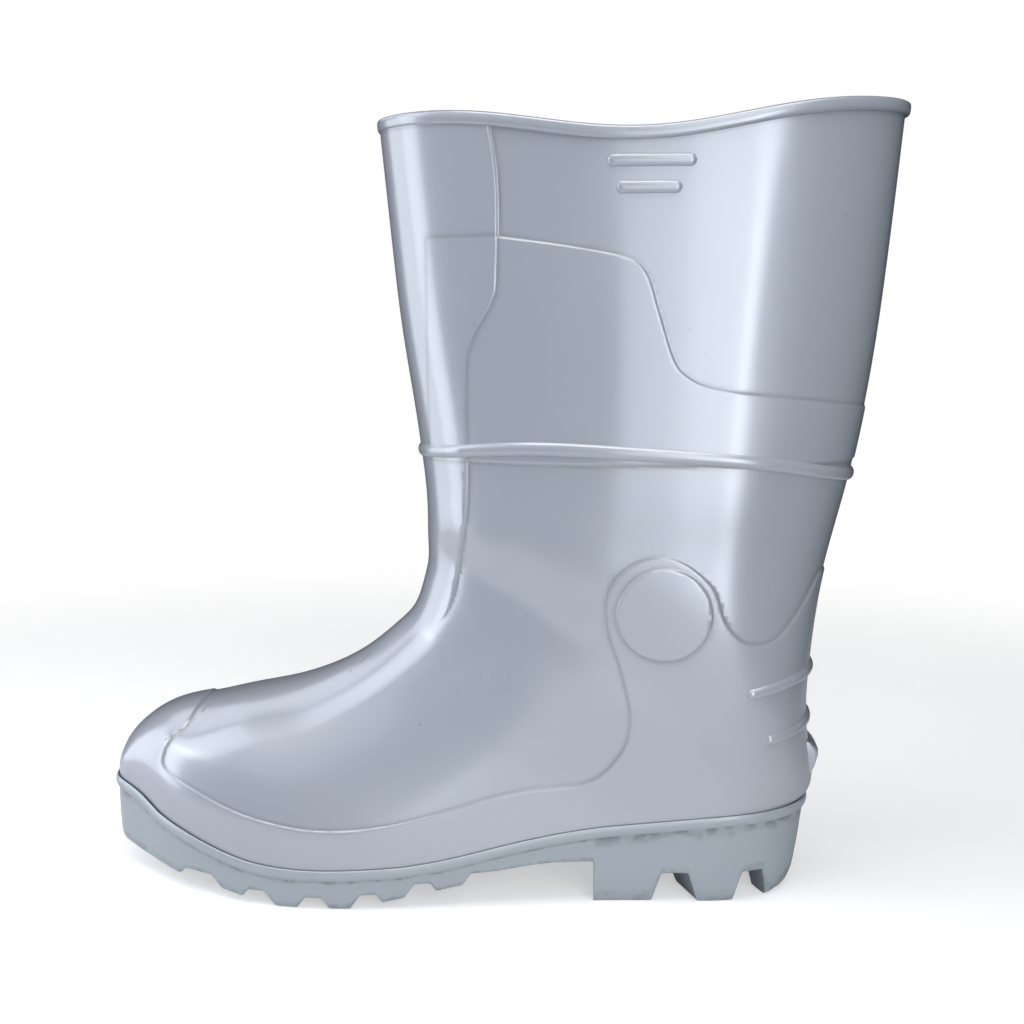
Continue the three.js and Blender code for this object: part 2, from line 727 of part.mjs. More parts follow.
function meshOf(name, solid, look) {
  const { vertProperties, triVerts } = solid.getMesh();
  const geometry = new THREE.BufferGeometry();
  geometry.setAttribute("position", new THREE.BufferAttribute(new Float32Array(vertProperties), 3));
  geometry.setIndex(new THREE.BufferAttribute(new Uint32Array(triVerts), 1));
  geometry.computeVertexNormals();
  const mesh = new THREE.Mesh(geometry, new THREE.MeshStandardMaterial(look));
  mesh.name = name;
  return mesh;
}

const glossyPvc = { color: 0xccd3dc, roughness: 0.28, metalness: 0 };
const solePvc = { color: 0xb9c6d0, roughness: 0.38, metalness: 0 };
const footbedFoam = { color: 0xd8d8d2, roughness: 0.9, metalness: 0 };

const boot = new THREE.Group();
boot.name = "tall_work_boot_left";
boot.add(
  meshOf("upper", upperSolid(), glossyPvc),
  meshOf("outsole", outsoleSolid(), solePvc),
  meshOf("insole", insoleSolid(), footbedFoam),
);

// The origin is on the floor, under the middle of the boot's box.
const box = new THREE.Box3().setFromObject(boot, true);
boot.position.set(-(box.min.x + box.max.x) / 2, -(box.min.y + box.max.y) / 2, -box.min.z);

export default boot;
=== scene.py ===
import math
import bpy
import numpy as np
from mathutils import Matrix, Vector


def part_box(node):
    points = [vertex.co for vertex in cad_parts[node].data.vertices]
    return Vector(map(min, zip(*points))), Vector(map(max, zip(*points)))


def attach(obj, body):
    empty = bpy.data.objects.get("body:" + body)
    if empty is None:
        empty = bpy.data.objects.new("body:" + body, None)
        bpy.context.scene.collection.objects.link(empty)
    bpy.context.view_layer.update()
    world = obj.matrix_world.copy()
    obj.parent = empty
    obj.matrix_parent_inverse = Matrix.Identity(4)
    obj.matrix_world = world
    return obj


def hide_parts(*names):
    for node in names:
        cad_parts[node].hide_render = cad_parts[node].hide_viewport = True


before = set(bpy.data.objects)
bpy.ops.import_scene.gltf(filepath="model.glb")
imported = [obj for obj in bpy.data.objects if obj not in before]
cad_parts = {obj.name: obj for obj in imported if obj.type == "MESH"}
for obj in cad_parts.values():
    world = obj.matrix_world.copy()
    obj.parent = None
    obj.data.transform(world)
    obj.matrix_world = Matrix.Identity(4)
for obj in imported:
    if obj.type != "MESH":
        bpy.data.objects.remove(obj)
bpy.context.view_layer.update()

mm = 0.001

# Shapes are worked out in millimetres: toe towards -X, outer side of this left boot towards -Y.
boot = {
    "soleLength": 290.0,
    "ballWidth": 97.0,
    "heelWidth": 71.0,
    "heelHeight": 36.4,
    "instepHeight": 110.0,
    "ankleDepth": 153.0,
    "shaftHeight": 308.0,
    "shaftWidth": 85.0,
    "collarDepth": 202.0,
    "toeSwing": 8.0,
    "fitGap": 0.3,
    "backCrown": 2.3,
    "collarDip": 9.8,
}
toeEnd = -boot["soleLength"] / 2
heelEnd = boot["soleLength"] / 2
vampLength = boot["soleLength"] - boot["ankleDepth"]


def alongSole(share):
    return toeEnd + share * boot["soleLength"]


legAxis = alongSole(0.755)
heelRoundsFrom = alongSole(0.838)
legRoundsFrom = alongSole(0.748)

# Sections fan from the toe to the collar, as in the solids.
# top, up, base, shift, outTop, outBase, inTop, inBase, full, crown
footSections = [
    (0.018, 0.347, 0.009, 1.00, 0.000, 0.000, 0.000, 0.000, 0.95, 2.40),
    (0.027, 0.405, 0.015, 1.00, 0.124, 0.124, 0.134, 0.134, 0.92, 2.40),
    (0.054, 0.477, 0.036, 1.00, 0.196, 0.201, 0.230, 0.242, 0.90, 2.40),
    (0.107, 0.544, 0.071, 0.98, 0.280, 0.287, 0.312, 0.325, 0.88, 2.40),
    (0.191, 0.600, 0.121, 0.90, 0.385, 0.404, 0.370, 0.392, 0.86, 2.40),
    (0.316, 0.642, 0.183, 0.75, 0.458, 0.490, 0.393, 0.423, 0.84, 2.35),
    (0.449, 0.675, 0.252, 0.63, 0.508, 0.546, 0.405, 0.433, 0.84, 2.30),
    (0.581, 0.716, 0.328, 0.56, 0.512, 0.568, 0.398, 0.425, 0.86, 2.25),
    (0.699, 0.772, 0.403, 0.52, 0.502, 0.554, 0.390, 0.400, 0.86, 2.20),
    (0.795, 0.840, 0.493, 0.45, 0.480, 0.511, 0.386, 0.355, 0.84, 2.15),
]
ankleSections = [
    (0.876, 0.922, 0.603, 0.35, 0.527, 0.617, 0.461, 0.446, 0.78, 2.10),
    (0.938, 1.000, 0.734, 0.25, 0.518, 0.549, 0.471, 0.458, 0.70, 2.10),
    (0.972, 1.087, 0.872, 0.15, 0.508, 0.524, 0.480, 0.476, 0.62, 2.10),
    (0.992, 1.182, 0.992, 0.08, 0.501, 0.515, 0.487, 0.485, 0.56, 2.15),
]
# lean, flare, front, back, width, full, crown
shaftSections = [
    (-0.044, -0.012, 0.152, 0.094, 0.459, 0.52, 2.20),
    (-0.043, -0.004, 0.202, 0.216, 0.488, 0.50, 2.20),
    (-0.030, 0.098, 0.253, 0.337, 0.497, 0.50, 2.20),
    (-0.007, 0.296, 0.313, 0.466, 0.506, 0.50, 2.20),
    (0.003, 0.492, 0.429, 0.588, 0.506, 0.50, 2.20),
    (0.001, 0.676, 0.586, 0.702, 0.506, 0.50, 2.20),
    (0.000, 0.840, 0.778, 0.845, 0.500, 0.50, 2.20),
    (-0.001, 0.996, 0.977, 1.000, 0.494, 0.50, 2.20),
]
heelRow = len(footSections) + len(ankleSections) - 1
collarRow = heelRow + len(shaftSections)

# Heights along the sole: share of its length, share of the heel's height.
rimLine = [
    (0.009, 1.033), (0.057, 0.950), (0.098, 0.805), (0.167, 0.635), (0.241, 0.486), (0.330, 0.440),
    (0.445, 0.473),
    (0.510, 0.552), (0.576, 0.670), (0.645, 0.783), (0.710, 0.863), (0.793, 0.929), (0.879, 0.997),
    (1.000, 1.030),
]
seatLine = [
    (0.009, 0.600), (0.057, 0.550), (0.098, 0.500), (0.167, 0.430), (0.241, 0.380), (0.330, 0.352),
    (0.445, 0.385),
    (0.510, 0.465), (0.576, 0.583), (0.645, 0.697), (0.710, 0.777), (0.793, 0.843), (0.879, 0.910),
    (1.000, 0.940),
]
treadLine = [
    (0.000, 0.440), (0.010, 0.340), (0.022, 0.280), (0.058, 0.225), (0.110, 0.178), (0.203, 0.100),
    (0.272, 0.000),
    (0.376, 0.000), (0.452, 0.112), (0.528, 0.230), (0.600, 0.110), (0.660, 0.000), (0.930, 0.000),
    (0.958, 0.030),
    (0.985, 0.120), (1.000, 0.200),
]
archLine = [(0.528, 0.235), (0.538, 0.365), (0.577, 0.385), (0.619, 0.440), (0.650, 0.462), (0.696, 0.465),
            (0.703, 0.465)]


def smooth(value, low, high):
    u = np.clip((value - low) / (high - low), 0, 1)
    return u * u * (3 - 2 * u)


def mix(a, b, share):
    return a + (b - a) * share


def unit(vectors):
    return vectors / np.maximum(np.linalg.norm(vectors, axis=-1, keepdims=True), 1e-12)


def naturalSpline(values):
    values = np.asarray(values, float)
    last = len(values) - 1
    bend = np.zeros(last + 1)
    carry = np.zeros(last + 1)
    for i in range(1, last):
        pull = 3 * (values[i + 1] - 2 * values[i] + values[i - 1])
        carry[i] = 1 / (4 - carry[i - 1])
        bend[i] = (pull - bend[i - 1]) * carry[i]
    for i in range(last - 1, 0, -1):
        bend[i] -= carry[i] * bend[i + 1]

    def at(where):
        i = np.clip(np.floor(where).astype(int), 0, last - 1)
        u = where - i
        slope = values[i + 1] - values[i] - (2 * bend[i] + bend[i + 1]) / 3
        return values[i] + u * (slope + u * (bend[i] + u * (bend[i + 1] - bend[i]) / 3))

    return at


def heightAlong(line, curved=True):
    xs = alongSole(np.array([row[0] for row in line]))
    ups = np.array([row[1] for row in line]) * boot["heelHeight"]
    spline = naturalSpline(ups)

    def at(x):
        x = np.asarray(x, float)
        i = np.clip(np.searchsorted(xs, x) - 1, 0, len(xs) - 2)
        u = np.clip((x - xs[i]) / (xs[i + 1] - xs[i]), 0, 1)
        return spline(i + u) if curved else mix(ups[i], ups[i + 1], u)

    return at


rimHeight = heightAlong(rimLine)
seatHeight = heightAlong(seatLine)
treadHeight = heightAlong(treadLine, curved=False)


def sectionTable():
    rows = []
    for number, row in enumerate(footSections + ankleSections):
        top, up, base, shift, outTop, outBase, inTop, inBase, full, crown = row
        onFoot = number < len(footSections)
        upper = boot["ballWidth"] if onFoot else boot["shaftWidth"]
        lower = boot["ballWidth"] if onFoot else boot["heelWidth"]
        baseX = alongSole(base)
        rows.append((toeEnd + top * vampLength, up * boot["instepHeight"], baseX, float(rimHeight(baseX)),
                     shift * boot["toeSwing"], outTop * upper, outBase * lower, inTop * upper,
                     inBase * lower, full, crown))
    for lean, flare, front, back, width, full, crown in shaftSections:
        depth = mix(boot["ankleDepth"], boot["collarDepth"], flare)
        middle = legAxis + lean * boot["ankleDepth"]
        half = width * boot["shaftWidth"]
        rows.append((middle - depth / 2, mix(boot["instepHeight"], boot["shaftHeight"], front),
                     middle + depth / 2,
                     mix(boot["heelHeight"], boot["shaftHeight"], back), 0, half, half, half, half, full,
                     crown))
    names = ("topX", "topZ", "baseX", "baseZ", "shift", "outTop", "outBase", "inTop", "inBase", "full",
             "crown")
    return {name: naturalSpline([row[i] for row in rows]) for i, name in enumerate(names)}


sectionSplines = sectionTable()


def sectionAt(row):
    cut = {name: spline(row) for name, spline in sectionSplines.items()}
    cut["baseZ"] = np.where(row < heelRow, rimHeight(cut["baseX"]), cut["baseZ"])
    return cut


backCut = sectionAt(np.arange(heelRow, collarRow + 0.01, 0.05))
order = np.argsort(backCut["baseZ"])


def backX(z):
    return np.interp(z, backCut["baseZ"][order], backCut["baseX"][order])


def crownCurve(fall, power):
    return (1 - np.clip(fall, 0, 1) ** power) ** (1 / power)


# The plain outside of the boot: row fans from toe to collar, turn runs from the top or front line
# down to the rim or round to the back, side is -1 outer and 1 inner.
def skin(row, turn, side):
    row, turn, side = np.broadcast_arrays(np.asarray(row, float), np.asarray(turn, float),
                                          np.asarray(side, float))
    cut = sectionAt(row)
    closing = smooth(row, heelRow - 4, heelRow)
    s = mix(1 - np.cos(np.pi / 2 * turn), (1 - np.cos(np.pi * turn)) / 2, closing)
    x = mix(cut["topX"], cut["baseX"], s)
    z = mix(cut["topZ"], cut["baseZ"], s)
    leg = smooth(z, 0.195 * boot["shaftHeight"], 0.487 * boot["shaftHeight"])
    roundsFrom = mix(heelRoundsFrom, legRoundsFrom, leg)
    back = (x - roundsFrom) / (backX(z) - roundsFrom)
    back = np.where((row >= heelRow) & (turn >= 1), 1, back)
    fullness = crownCurve(1 - s / cut["full"], cut["crown"]) * crownCurve(back, boot["backCrown"])
    top = np.where(side < 0, cut["outTop"], cut["inTop"])
    base = np.where(side < 0, cut["outBase"], cut["inBase"])
    half = mix(top, base, smooth(s, 0, 1))
    return np.stack([x, cut["shift"] + side * half * fullness, z], -1)


# Turns that are evenly spaced along each section.
class EvenTurns:
    step = 0.05

    def __init__(self, side, count):
        self.side = side
        self.count = count
        rows = np.arange(0, collarRow + self.step / 2, self.step)
        turns = np.linspace(0, 1, 321)
        points = skin(rows[:, None], turns[None, :], side)
        lengths = np.linalg.norm(np.diff(points, axis=1), axis=-1)
        travelled = np.concatenate([np.zeros((len(rows), 1)), np.cumsum(lengths, axis=1)], axis=1)
        shares = np.linspace(0, 1, count + 1)
        self.table = np.stack([np.interp(shares * way[-1], way, turns) for way in travelled])
        self.table[:, -1] = 1

    def at(self, rows):
        place = np.clip(rows / self.step, 0, len(self.table) - 1.001)
        i = place.astype(int)
        column = np.broadcast_to(np.arange(self.count + 1), rows.shape)
        return mix(self.table[i, column], self.table[i + 1, column], place - i)

    def points(self, rows):
        return skin(rows, self.at(rows), self.side)

    # The row at which each column meets a line that is seen from the side.
    def rowsOn(self, lineHeight, low, high):
        below = np.full(self.count + 1, float(low))
        above = np.full(self.count + 1, float(high))
        for _ in range(30):
            middle = (below + above) / 2
            points = self.points(middle[None, :])[0]
            over = points[:, 2] > lineHeight(points[:, 0])
            above = np.where(over, middle, above)
            below = np.where(over, below, middle)
        return (below + above) / 2


def sideView(line):
    return np.array([(alongSole(along), up * boot["shaftHeight"]) for along, up in line])


def curveThrough(line, divisions):
    points = sideView(line)
    padded = np.vstack([points[:1], points, points[-1:]])
    places = np.linspace(0, len(points) - 1, divisions + 1)
    i = np.clip(places.astype(int), 0, len(points) - 2)
    u = (places - i)[:, None]
    before, start, end, after = (padded[i + k] for k in range(4))
    leave, arrive = (end - before) / 2, (after - start) / 2
    cubed = 2 * start - 2 * end + leave + arrive
    squared = 3 * end - 3 * start - 2 * leave - arrive
    return cubed * u**3 + squared * u**2 + leave * u + start


lastRow = collarRow + 0.4
collarFront = float(sectionSplines["topX"](np.array(float(collarRow))))
collarBack = float(sectionSplines["baseX"](np.array(float(collarRow))))
collarFrontZ = float(sectionSplines["topZ"](np.array(float(collarRow))))


def collarHeight(x):
    u = np.clip((x - collarFront) / (collarBack - collarFront), -0.1, 1.1)
    return mix(collarFrontZ, boot["shaftHeight"], u) - boot["collarDip"] * np.sin(np.pi * u) ** 3


bandLine = [(0.420, 0.566), (0.500, 0.572), (0.628, 0.580), (0.790, 0.573), (0.917, 0.563), (1.010, 0.548),
            (1.080, 0.536)]
bandCurve = curveThrough(bandLine, 200)


def bandHeight(x):
    return np.interp(x, bandCurve[:, 0], bandCurve[:, 1])


# Steps in the wall, each a region seen from the side.
panels = {
    "frontLine": [
        (0.560, 0.975), (0.572, 0.900), (0.572, 0.790), (0.566, 0.757), (0.540, 0.712), (0.531, 0.670),
        (0.531, 0.520),
        (0.520, 0.441), (0.507, 0.380), (0.488, 0.352), (0.455, 0.345),
    ],
    "sideLine": [
        (0.570, 0.834), (0.660, 0.822), (0.735, 0.808), (0.762, 0.790), (0.778, 0.745), (0.797, 0.690),
        (0.815, 0.668),
        (0.850, 0.654), (0.930, 0.643), (1.060, 0.628),
    ],
    "guardLine": [
        (0.139, 0.240), (0.131, 0.211), (0.116, 0.195), (0.105, 0.175), (0.109, 0.156), (0.150, 0.140),
        (0.240, 0.114),
        (0.340, 0.101), (0.445, 0.110), (0.590, 0.145), (0.690, 0.158), (0.735, 0.195), (0.750, 0.240),
        (0.738, 0.300),
        (0.719, 0.360), (0.722, 0.412), (0.760, 0.444), (0.808, 0.445), (0.852, 0.412), (0.870, 0.368),
        (0.897, 0.341),
        (0.937, 0.341), (0.972, 0.376), (1.000, 0.420),
    ],
    "frontRise": 1.0,
    "sideRise": 0.6,
    "guardRise": 0.7,
    "discCentre": (alongSole(0.791), 0.377 * boot["shaftHeight"]),
    "discRadius": 18.0,
    "discRise": 1.4,
    "stepWidth": 1.2,
    "stepCuts": (-0.5, -0.2, 0.2, 0.5),
    "frontFades": (0.345, 0.41),
}


def panelRegions():
    tall = boot["shaftHeight"]
    front = np.vstack([[(toeEnd, 0.345 * tall), (toeEnd, 1.1 * tall), (alongSole(0.56), 1.1 * tall)],
                       curveThrough(panels["frontLine"], 160)])
    side = np.vstack([[(alongSole(0.48), 0.562 * tall), (alongSole(0.48), panels["sideLine"][0][1] * tall)],
                      curveThrough(panels["sideLine"], 160), [(alongSole(1.06), 0.562 * tall)]])
    guard = np.vstack([[(toeEnd - 97, -36), (toeEnd - 97, 0.24 * tall)],
                       curveThrough(panels["guardLine"], 360),
                       [(heelEnd + 97, 0.42 * tall), (heelEnd + 97, -36)]])
    angles = np.linspace(0, 2 * np.pi, 120, endpoint=False)
    disc = np.array(panels["discCentre"]) + panels["discRadius"] * np.stack([np.cos(angles),
                                                                             np.sin(angles)], -1)
    return [(front, panels["frontRise"]), (side, panels["sideRise"]), (guard, panels["guardRise"]),
            (disc, panels["discRise"])]


# Signed distance to a region's edge, positive inside.
def edgeDistance(places, region):
    start = region
    along = np.roll(region, -1, axis=0) - region
    lengthSquared = np.maximum((along**2).sum(-1), 1e-9)
    distance = np.empty(len(places))
    for first in range(0, len(places), 3000):
        part = places[first:first + 3000, None, :]
        toStart = part - start
        share = np.clip((toStart * along).sum(-1) / lengthSquared, 0, 1)
        foot = start + share[..., None] * along
        gap = ((part - foot) ** 2).sum(-1)
        best = gap.argmin(1)
        rows = np.arange(len(best))
        z0, z1 = start[:, 1], (start + along)[:, 1]
        crosses = (z0 > part[..., 1]) != (z1 > part[..., 1])
        steep = np.where(np.abs(along[:, 1]) < 1e-9, 1e-9, along[:, 1])
        crossing = start[:, 0] + (part[..., 1] - z0) / steep * along[:, 0]
        inside = (crosses & (part[..., 0] < crossing)).sum(1) % 2 == 1
        distance[first:first + 3000] = np.sqrt(gap[rows, best]) * np.where(inside, 1, -1)
    return distance


# Soft troughs and ridges of the moulded wall, placed one by one.
# side, x, z, lean in degrees, half length, half width, rise (below 0 a trough)
softForms = [
    (0, -103.0, 66.0, 20.0, 13.0, 6.0, -0.9),
    (0, -86.0, 71.0, 18.0, 20.0, 7.0, 0.5),
    (-1, -20.0, 88.0, 32.0, 26.0, 9.0, 0.7),
    (-1, 12.0, 98.0, 30.0, 16.0, 8.0, -0.7),
    (0, 30.0, 128.0, 70.0, 22.0, 9.0, -0.6),
    (-1, 52.0, 210.0, 88.0, 45.0, 10.0, -0.5),
    (-1, 112.0, 225.0, 84.0, 60.0, 9.0, 0.4),
    (0, 128.0, 150.0, 80.0, 22.0, 8.0, -0.5),
    (1, 40.0, 200.0, 86.0, 55.0, 12.0, -0.6),
    (1, -10.0, 80.0, 30.0, 30.0, 10.0, 0.6),
]


def softRise(points, side):
    total = np.zeros(points.shape[:-1])
    for onSide, x, z, lean, length, width, rise in softForms:
        a = math.radians(lean)
        dx, dz = points[..., 0] - x, points[..., 2] - z
        along = (dx * math.cos(a) + dz * math.sin(a)) / length
        across = (-dx * math.sin(a) + dz * math.cos(a)) / width
        keep = 1.0 if onSide == 0 else (side * onSide > 0)
        total += keep * rise * np.exp(-along**2 - across**2)
    return total


def gridNormals(grid, joined):
    padded = np.concatenate([grid[:, :1], grid, grid[:, -1:]], axis=1)
    if joined is not None:
        padded[joined, 0] = grid[joined, -2]
        padded[joined, -1] = grid[joined, 1]
    acrossStep = padded[:, 2:] - padded[:, :-2]
    upStep = np.gradient(grid, axis=0)
    normals = unit(np.cross(upStep, acrossStep))
    if joined is not None:
        middle = unit(normals[joined, 0] + normals[joined, -1])
        normals[joined, 0] = middle
        normals[joined, -1] = middle
    return normals


# Cuts faces where a value that is kept at the points passes a level.
def cutAtLevel(values, faces, number, level, near=0.03):
    own = values[:, number] - level
    own[np.abs(own) < near] = 0
    signs = np.sign(own)
    made, added, kept = {}, [], []
    total = len(values)

    def between(a, b):
        key = (a, b) if a < b else (b, a)
        if key not in made:
            share = own[key[0]] / (own[key[0]] - own[key[1]])
            made[key] = total + len(added)
            added.append(mix(values[key[0]], values[key[1]], share))
        return made[key]

    for face in faces:
        facing = signs[list(face)]
        if facing.min() >= 0 or facing.max() <= 0:
            kept.append(face)
            continue
        high, low = [], []
        for k, corner in enumerate(face):
            after = face[(k + 1) % len(face)]
            if signs[corner] >= 0:
                high.append(corner)
            if signs[corner] <= 0:
                low.append(corner)
            if signs[corner] * signs[after] < 0:
                fresh = between(corner, after)
                high.append(fresh)
                low.append(fresh)
        kept.extend(part for part in (tuple(high), tuple(low)) if len(part) > 2)
    return np.vstack([values, np.array(added)]) if added else values, kept


# Cuts the wall along both edges of each panel's step, then raises each panel.
def raisePanels(grid, normals, faces):
    flat = grid.reshape(-1, 3)
    regions = panelRegions()
    found = [edgeDistance(flat[:, [0, 2]], region) for region, _ in regions]
    values = np.column_stack([flat, normals.reshape(-1, 3), *found])
    width = panels["stepWidth"]
    for number in range(len(regions)):
        for share in panels["stepCuts"]:
            near = np.abs(values[:, 6 + number]) < 6
            touched = [face for face in faces if near[list(face)].any()]
            others = [face for face in faces if not near[list(face)].any()]
            values, touched = cutAtLevel(values, touched, 6 + number, share * width)
            faces = others + touched
    rise = np.zeros(len(values))
    fadeLow, fadeHigh = panels["frontFades"]
    fade = smooth(values[:, 2], fadeLow * boot["shaftHeight"], fadeHigh * boot["shaftHeight"])
    for number, (_, height) in enumerate(regions):
        step = smooth(values[:, 6 + number], -width / 2, width / 2) * height
        rise = np.maximum(rise, step * fade if number == 0 else step)
    # Painted shade: a dark line along the foot of each step, on the low side of the panel's edge; it becomes
    # the edge mask.
    feet = np.exp(-((values[:, 6:] + width / 2) ** 2) / 0.5)
    feet[:, 0] *= fade
    edge = feet.max(1)
    return values[:, :3], unit(values[:, 3:6]), faces, rise, edge


ownToeTip = float(sectionSplines["baseX"](np.array(0.0)))
rimProud = 2.3
offset = np.array([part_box("outsole")[0].x / mm - (ownToeTip - rimProud), 0.0, 0.0])


def meshPiece(name, points, faces, material, masks=None, sharpAbove=None):
    mesh = bpy.data.meshes.new(name)
    placed = (np.asarray(points) + offset) * mm
    mesh.from_pydata(placed.tolist(), [], [tuple(face) for face in faces])
    mesh.update()
    piece = bpy.data.objects.new(name, mesh)
    bpy.context.scene.collection.objects.link(piece)
    for label, values in (masks or {}).items():
        attribute = mesh.attributes.new(label, "FLOAT", "POINT")
        attribute.data.foreach_set("value", np.asarray(values, np.float32).ravel())
    mesh.materials.append(material)
    mesh.polygons.foreach_set("use_smooth", [True] * len(mesh.polygons))
    if sharpAbove is not None:
        mesh.set_sharp_from_angle(angle=math.radians(sharpAbove))
    return piece


# Joins points that share a place, and drops faces that this closes up.
def weld(points, faces, masks, grain=0.004):
    keys = np.round(np.asarray(points) / grain).astype(np.int64)
    _, first, back = np.unique(keys, axis=0, return_index=True, return_inverse=True)
    back = back.ravel()
    kept = []
    for face in faces:
        corners = []
        for corner in back[list(face)]:
            if corner not in corners:
                corners.append(int(corner))
        if len(corners) > 2:
            kept.append(corners)
    return np.asarray(points)[first], kept, {label: np.asarray(values).ravel()[first] for label,
                                             values in masks.items()}


def gridFaces(rows, columns, start=0):
    faces = []
    for i in range(rows - 1):
        for j in range(columns - 1):
            a = start + i * columns + j
            faces.append((a, a + columns, a + columns + 1, a + 1))
    return faces


# Shader groups that the moulded materials share.
def shaderGroup(name, inputs, outputs):
    group = bpy.data.node_groups.new(name, "ShaderNodeTree")
    for label, kind, value in inputs:
        socket = group.interface.new_socket(label, in_out="INPUT", socket_type=kind)
        if value is not None:
            socket.default_value = value
    for label, kind in outputs:
        group.interface.new_socket(label, in_out="OUTPUT", socket_type=kind)
    return group, group.nodes.new("NodeGroupInput"), group.nodes.new("NodeGroupOutput")


def addNode(tree, kind, settings=None, values=None):
    node = tree.nodes.new(kind)
    for label, value in (settings or {}).items():
        setattr(node, label, value)
    for label, value in (values or {}).items():
        node.inputs[label].default_value = value
    return node


def mathNode(tree, operation, first, second=None, clamp=False):
    node = addNode(tree, "ShaderNodeMath", {"operation": operation, "use_clamp": clamp})
    for socket, value in zip(node.inputs, (first, second)):
        if value is None:
            continue
        if isinstance(value, (int, float)):
            socket.default_value = value
        else:
            tree.links.new(value, socket)
    return node.outputs[0]


def cloudGroup():
    group, given, result = shaderGroup("softClouds",
                                       [("Coordinates", "NodeSocketVector", None),
                                        ("Scale", "NodeSocketFloat", 20.0),
                                                      ("Low", "NodeSocketFloat", 0.35),
                                                      ("High", "NodeSocketFloat", 0.7)],
                                       [("Cloud", "NodeSocketFloat")])
    noise = addNode(group, "ShaderNodeTexNoise", {}, {"Detail": 4.0, "Roughness": 0.55})
    spread = addNode(group, "ShaderNodeMapRange", {"interpolation_type": "SMOOTHSTEP"})
    group.links.new(given.outputs["Coordinates"], noise.inputs["Vector"])
    group.links.new(given.outputs["Scale"], noise.inputs["Scale"])
    group.links.new(noise.outputs["Fac"], spread.inputs["Value"])
    group.links.new(given.outputs["Low"], spread.inputs["From Min"])
    group.links.new(given.outputs["High"], spread.inputs["From Max"])
    group.links.new(spread.outputs["Result"], result.inputs["Cloud"])
    return group


def speckGroup():
    group, given, result = shaderGroup("fineSpecks",
                                       [("Coordinates", "NodeSocketVector", None),
                                        ("Scale", "NodeSocketFloat", 120.0),
                                                      ("Share", "NodeSocketFloat", 0.06),
                                                      ("Size", "NodeSocketFloat", 0.16)],
                                       [("Speck", "NodeSocketFloat")])
    cells = addNode(group, "ShaderNodeTexVoronoi", {"feature": "F1"}, {"Randomness": 1.0})
    group.links.new(given.outputs["Coordinates"], cells.inputs["Vector"])
    group.links.new(given.outputs["Scale"], cells.inputs["Scale"])
    red = addNode(group, "ShaderNodeSeparateColor")
    group.links.new(cells.outputs["Color"], red.inputs["Color"])
    chosen = mathNode(group, "LESS_THAN", red.outputs[0], given.outputs["Share"])
    size = mathNode(group, "MULTIPLY", given.outputs["Size"], red.outputs[1])
    small = addNode(group, "ShaderNodeMapRange", {"interpolation_type": "SMOOTHSTEP"},
                    {"From Min": 0.0, "To Min": 1.0, "To Max": 0.0})
    group.links.new(cells.outputs["Distance"], small.inputs["Value"])
    group.links.new(size, small.inputs["From Max"])
    group.links.new(mathNode(group, "MULTIPLY", chosen, small.outputs["Result"]), result.inputs["Speck"])
    return group


def streakGroup():
    group, given, result = shaderGroup("streakMark",
                                       [("Coordinates", "NodeSocketVector", None),
                                        ("From", "NodeSocketVector", None),
                                                      ("To", "NodeSocketVector", None),
                                                      ("Width", "NodeSocketFloat", 0.001),
                                                      ("Breaks", "NodeSocketFloat", 0.5)],
                                       [("Mark", "NodeSocketFloat")])

    def vectorNode(operation, first, second=None):
        node = addNode(group, "ShaderNodeVectorMath", {"operation": operation})
        group.links.new(first, node.inputs[0])
        if second is not None:
            group.links.new(second, node.inputs[1])
        return node

    flat = addNode(group, "ShaderNodeVectorMath", {"operation": "MULTIPLY"})
    flat.inputs[1].default_value = (1, 0, 1)
    group.links.new(given.outputs["Coordinates"], flat.inputs[0])
    parts = group.nodes.new("ShaderNodeSeparateXYZ")
    group.links.new(given.outputs["Coordinates"], parts.inputs["Vector"])
    outer = mathNode(group, "LESS_THAN", parts.outputs["Y"], 0.0)
    along = vectorNode("SUBTRACT", given.outputs["To"], given.outputs["From"]).outputs["Vector"]
    reach = vectorNode("SUBTRACT", flat.outputs["Vector"], given.outputs["From"]).outputs["Vector"]
    top = vectorNode("DOT_PRODUCT", reach, along).outputs["Value"]
    bottom = vectorNode("DOT_PRODUCT", along, along).outputs["Value"]
    share = mathNode(group, "DIVIDE", top, mathNode(group, "MAXIMUM", bottom, 1e-9), clamp=True)
    foot = addNode(group, "ShaderNodeVectorMath", {"operation": "SCALE"})
    group.links.new(along, foot.inputs[0])
    group.links.new(share, foot.inputs["Scale"])
    gap = vectorNode("DISTANCE", reach, foot.outputs["Vector"]).outputs["Value"]
    near = addNode(group, "ShaderNodeMapRange", {"interpolation_type": "SMOOTHSTEP"},
                   {"From Min": 0.0, "To Min": 1.0, "To Max": 0.0})
    group.links.new(gap, near.inputs["Value"])
    group.links.new(given.outputs["Width"], near.inputs["From Max"])
    noise = addNode(group, "ShaderNodeTexNoise", {}, {"Scale": 600.0, "Detail": 3.0})
    group.links.new(given.outputs["Coordinates"], noise.inputs["Vector"])
    broken = addNode(group, "ShaderNodeMapRange", {"interpolation_type": "SMOOTHSTEP"}, {"From Max": 0.62})
    group.links.new(noise.outputs["Fac"], broken.inputs["Value"])
    group.links.new(mathNode(group, "MULTIPLY", given.outputs["Breaks"], 0.6), broken.inputs["From Min"])
    mark = mathNode(group, "MULTIPLY", near.outputs["Result"], broken.outputs["Result"])
    group.links.new(mathNode(group, "MULTIPLY", mark, outer), result.inputs["Mark"])
    return group


clouds = cloudGroup()
specks = speckGroup()
streaks = streakGroup()


def placeGroup(tree, group, coordinates, values):
    node = addNode(tree, "ShaderNodeGroup", {"node_tree": group})
    tree.links.new(coordinates, node.inputs["Coordinates"])
    for label, value in values.items():
        node.inputs[label].default_value = value
    return node.outputs[0]


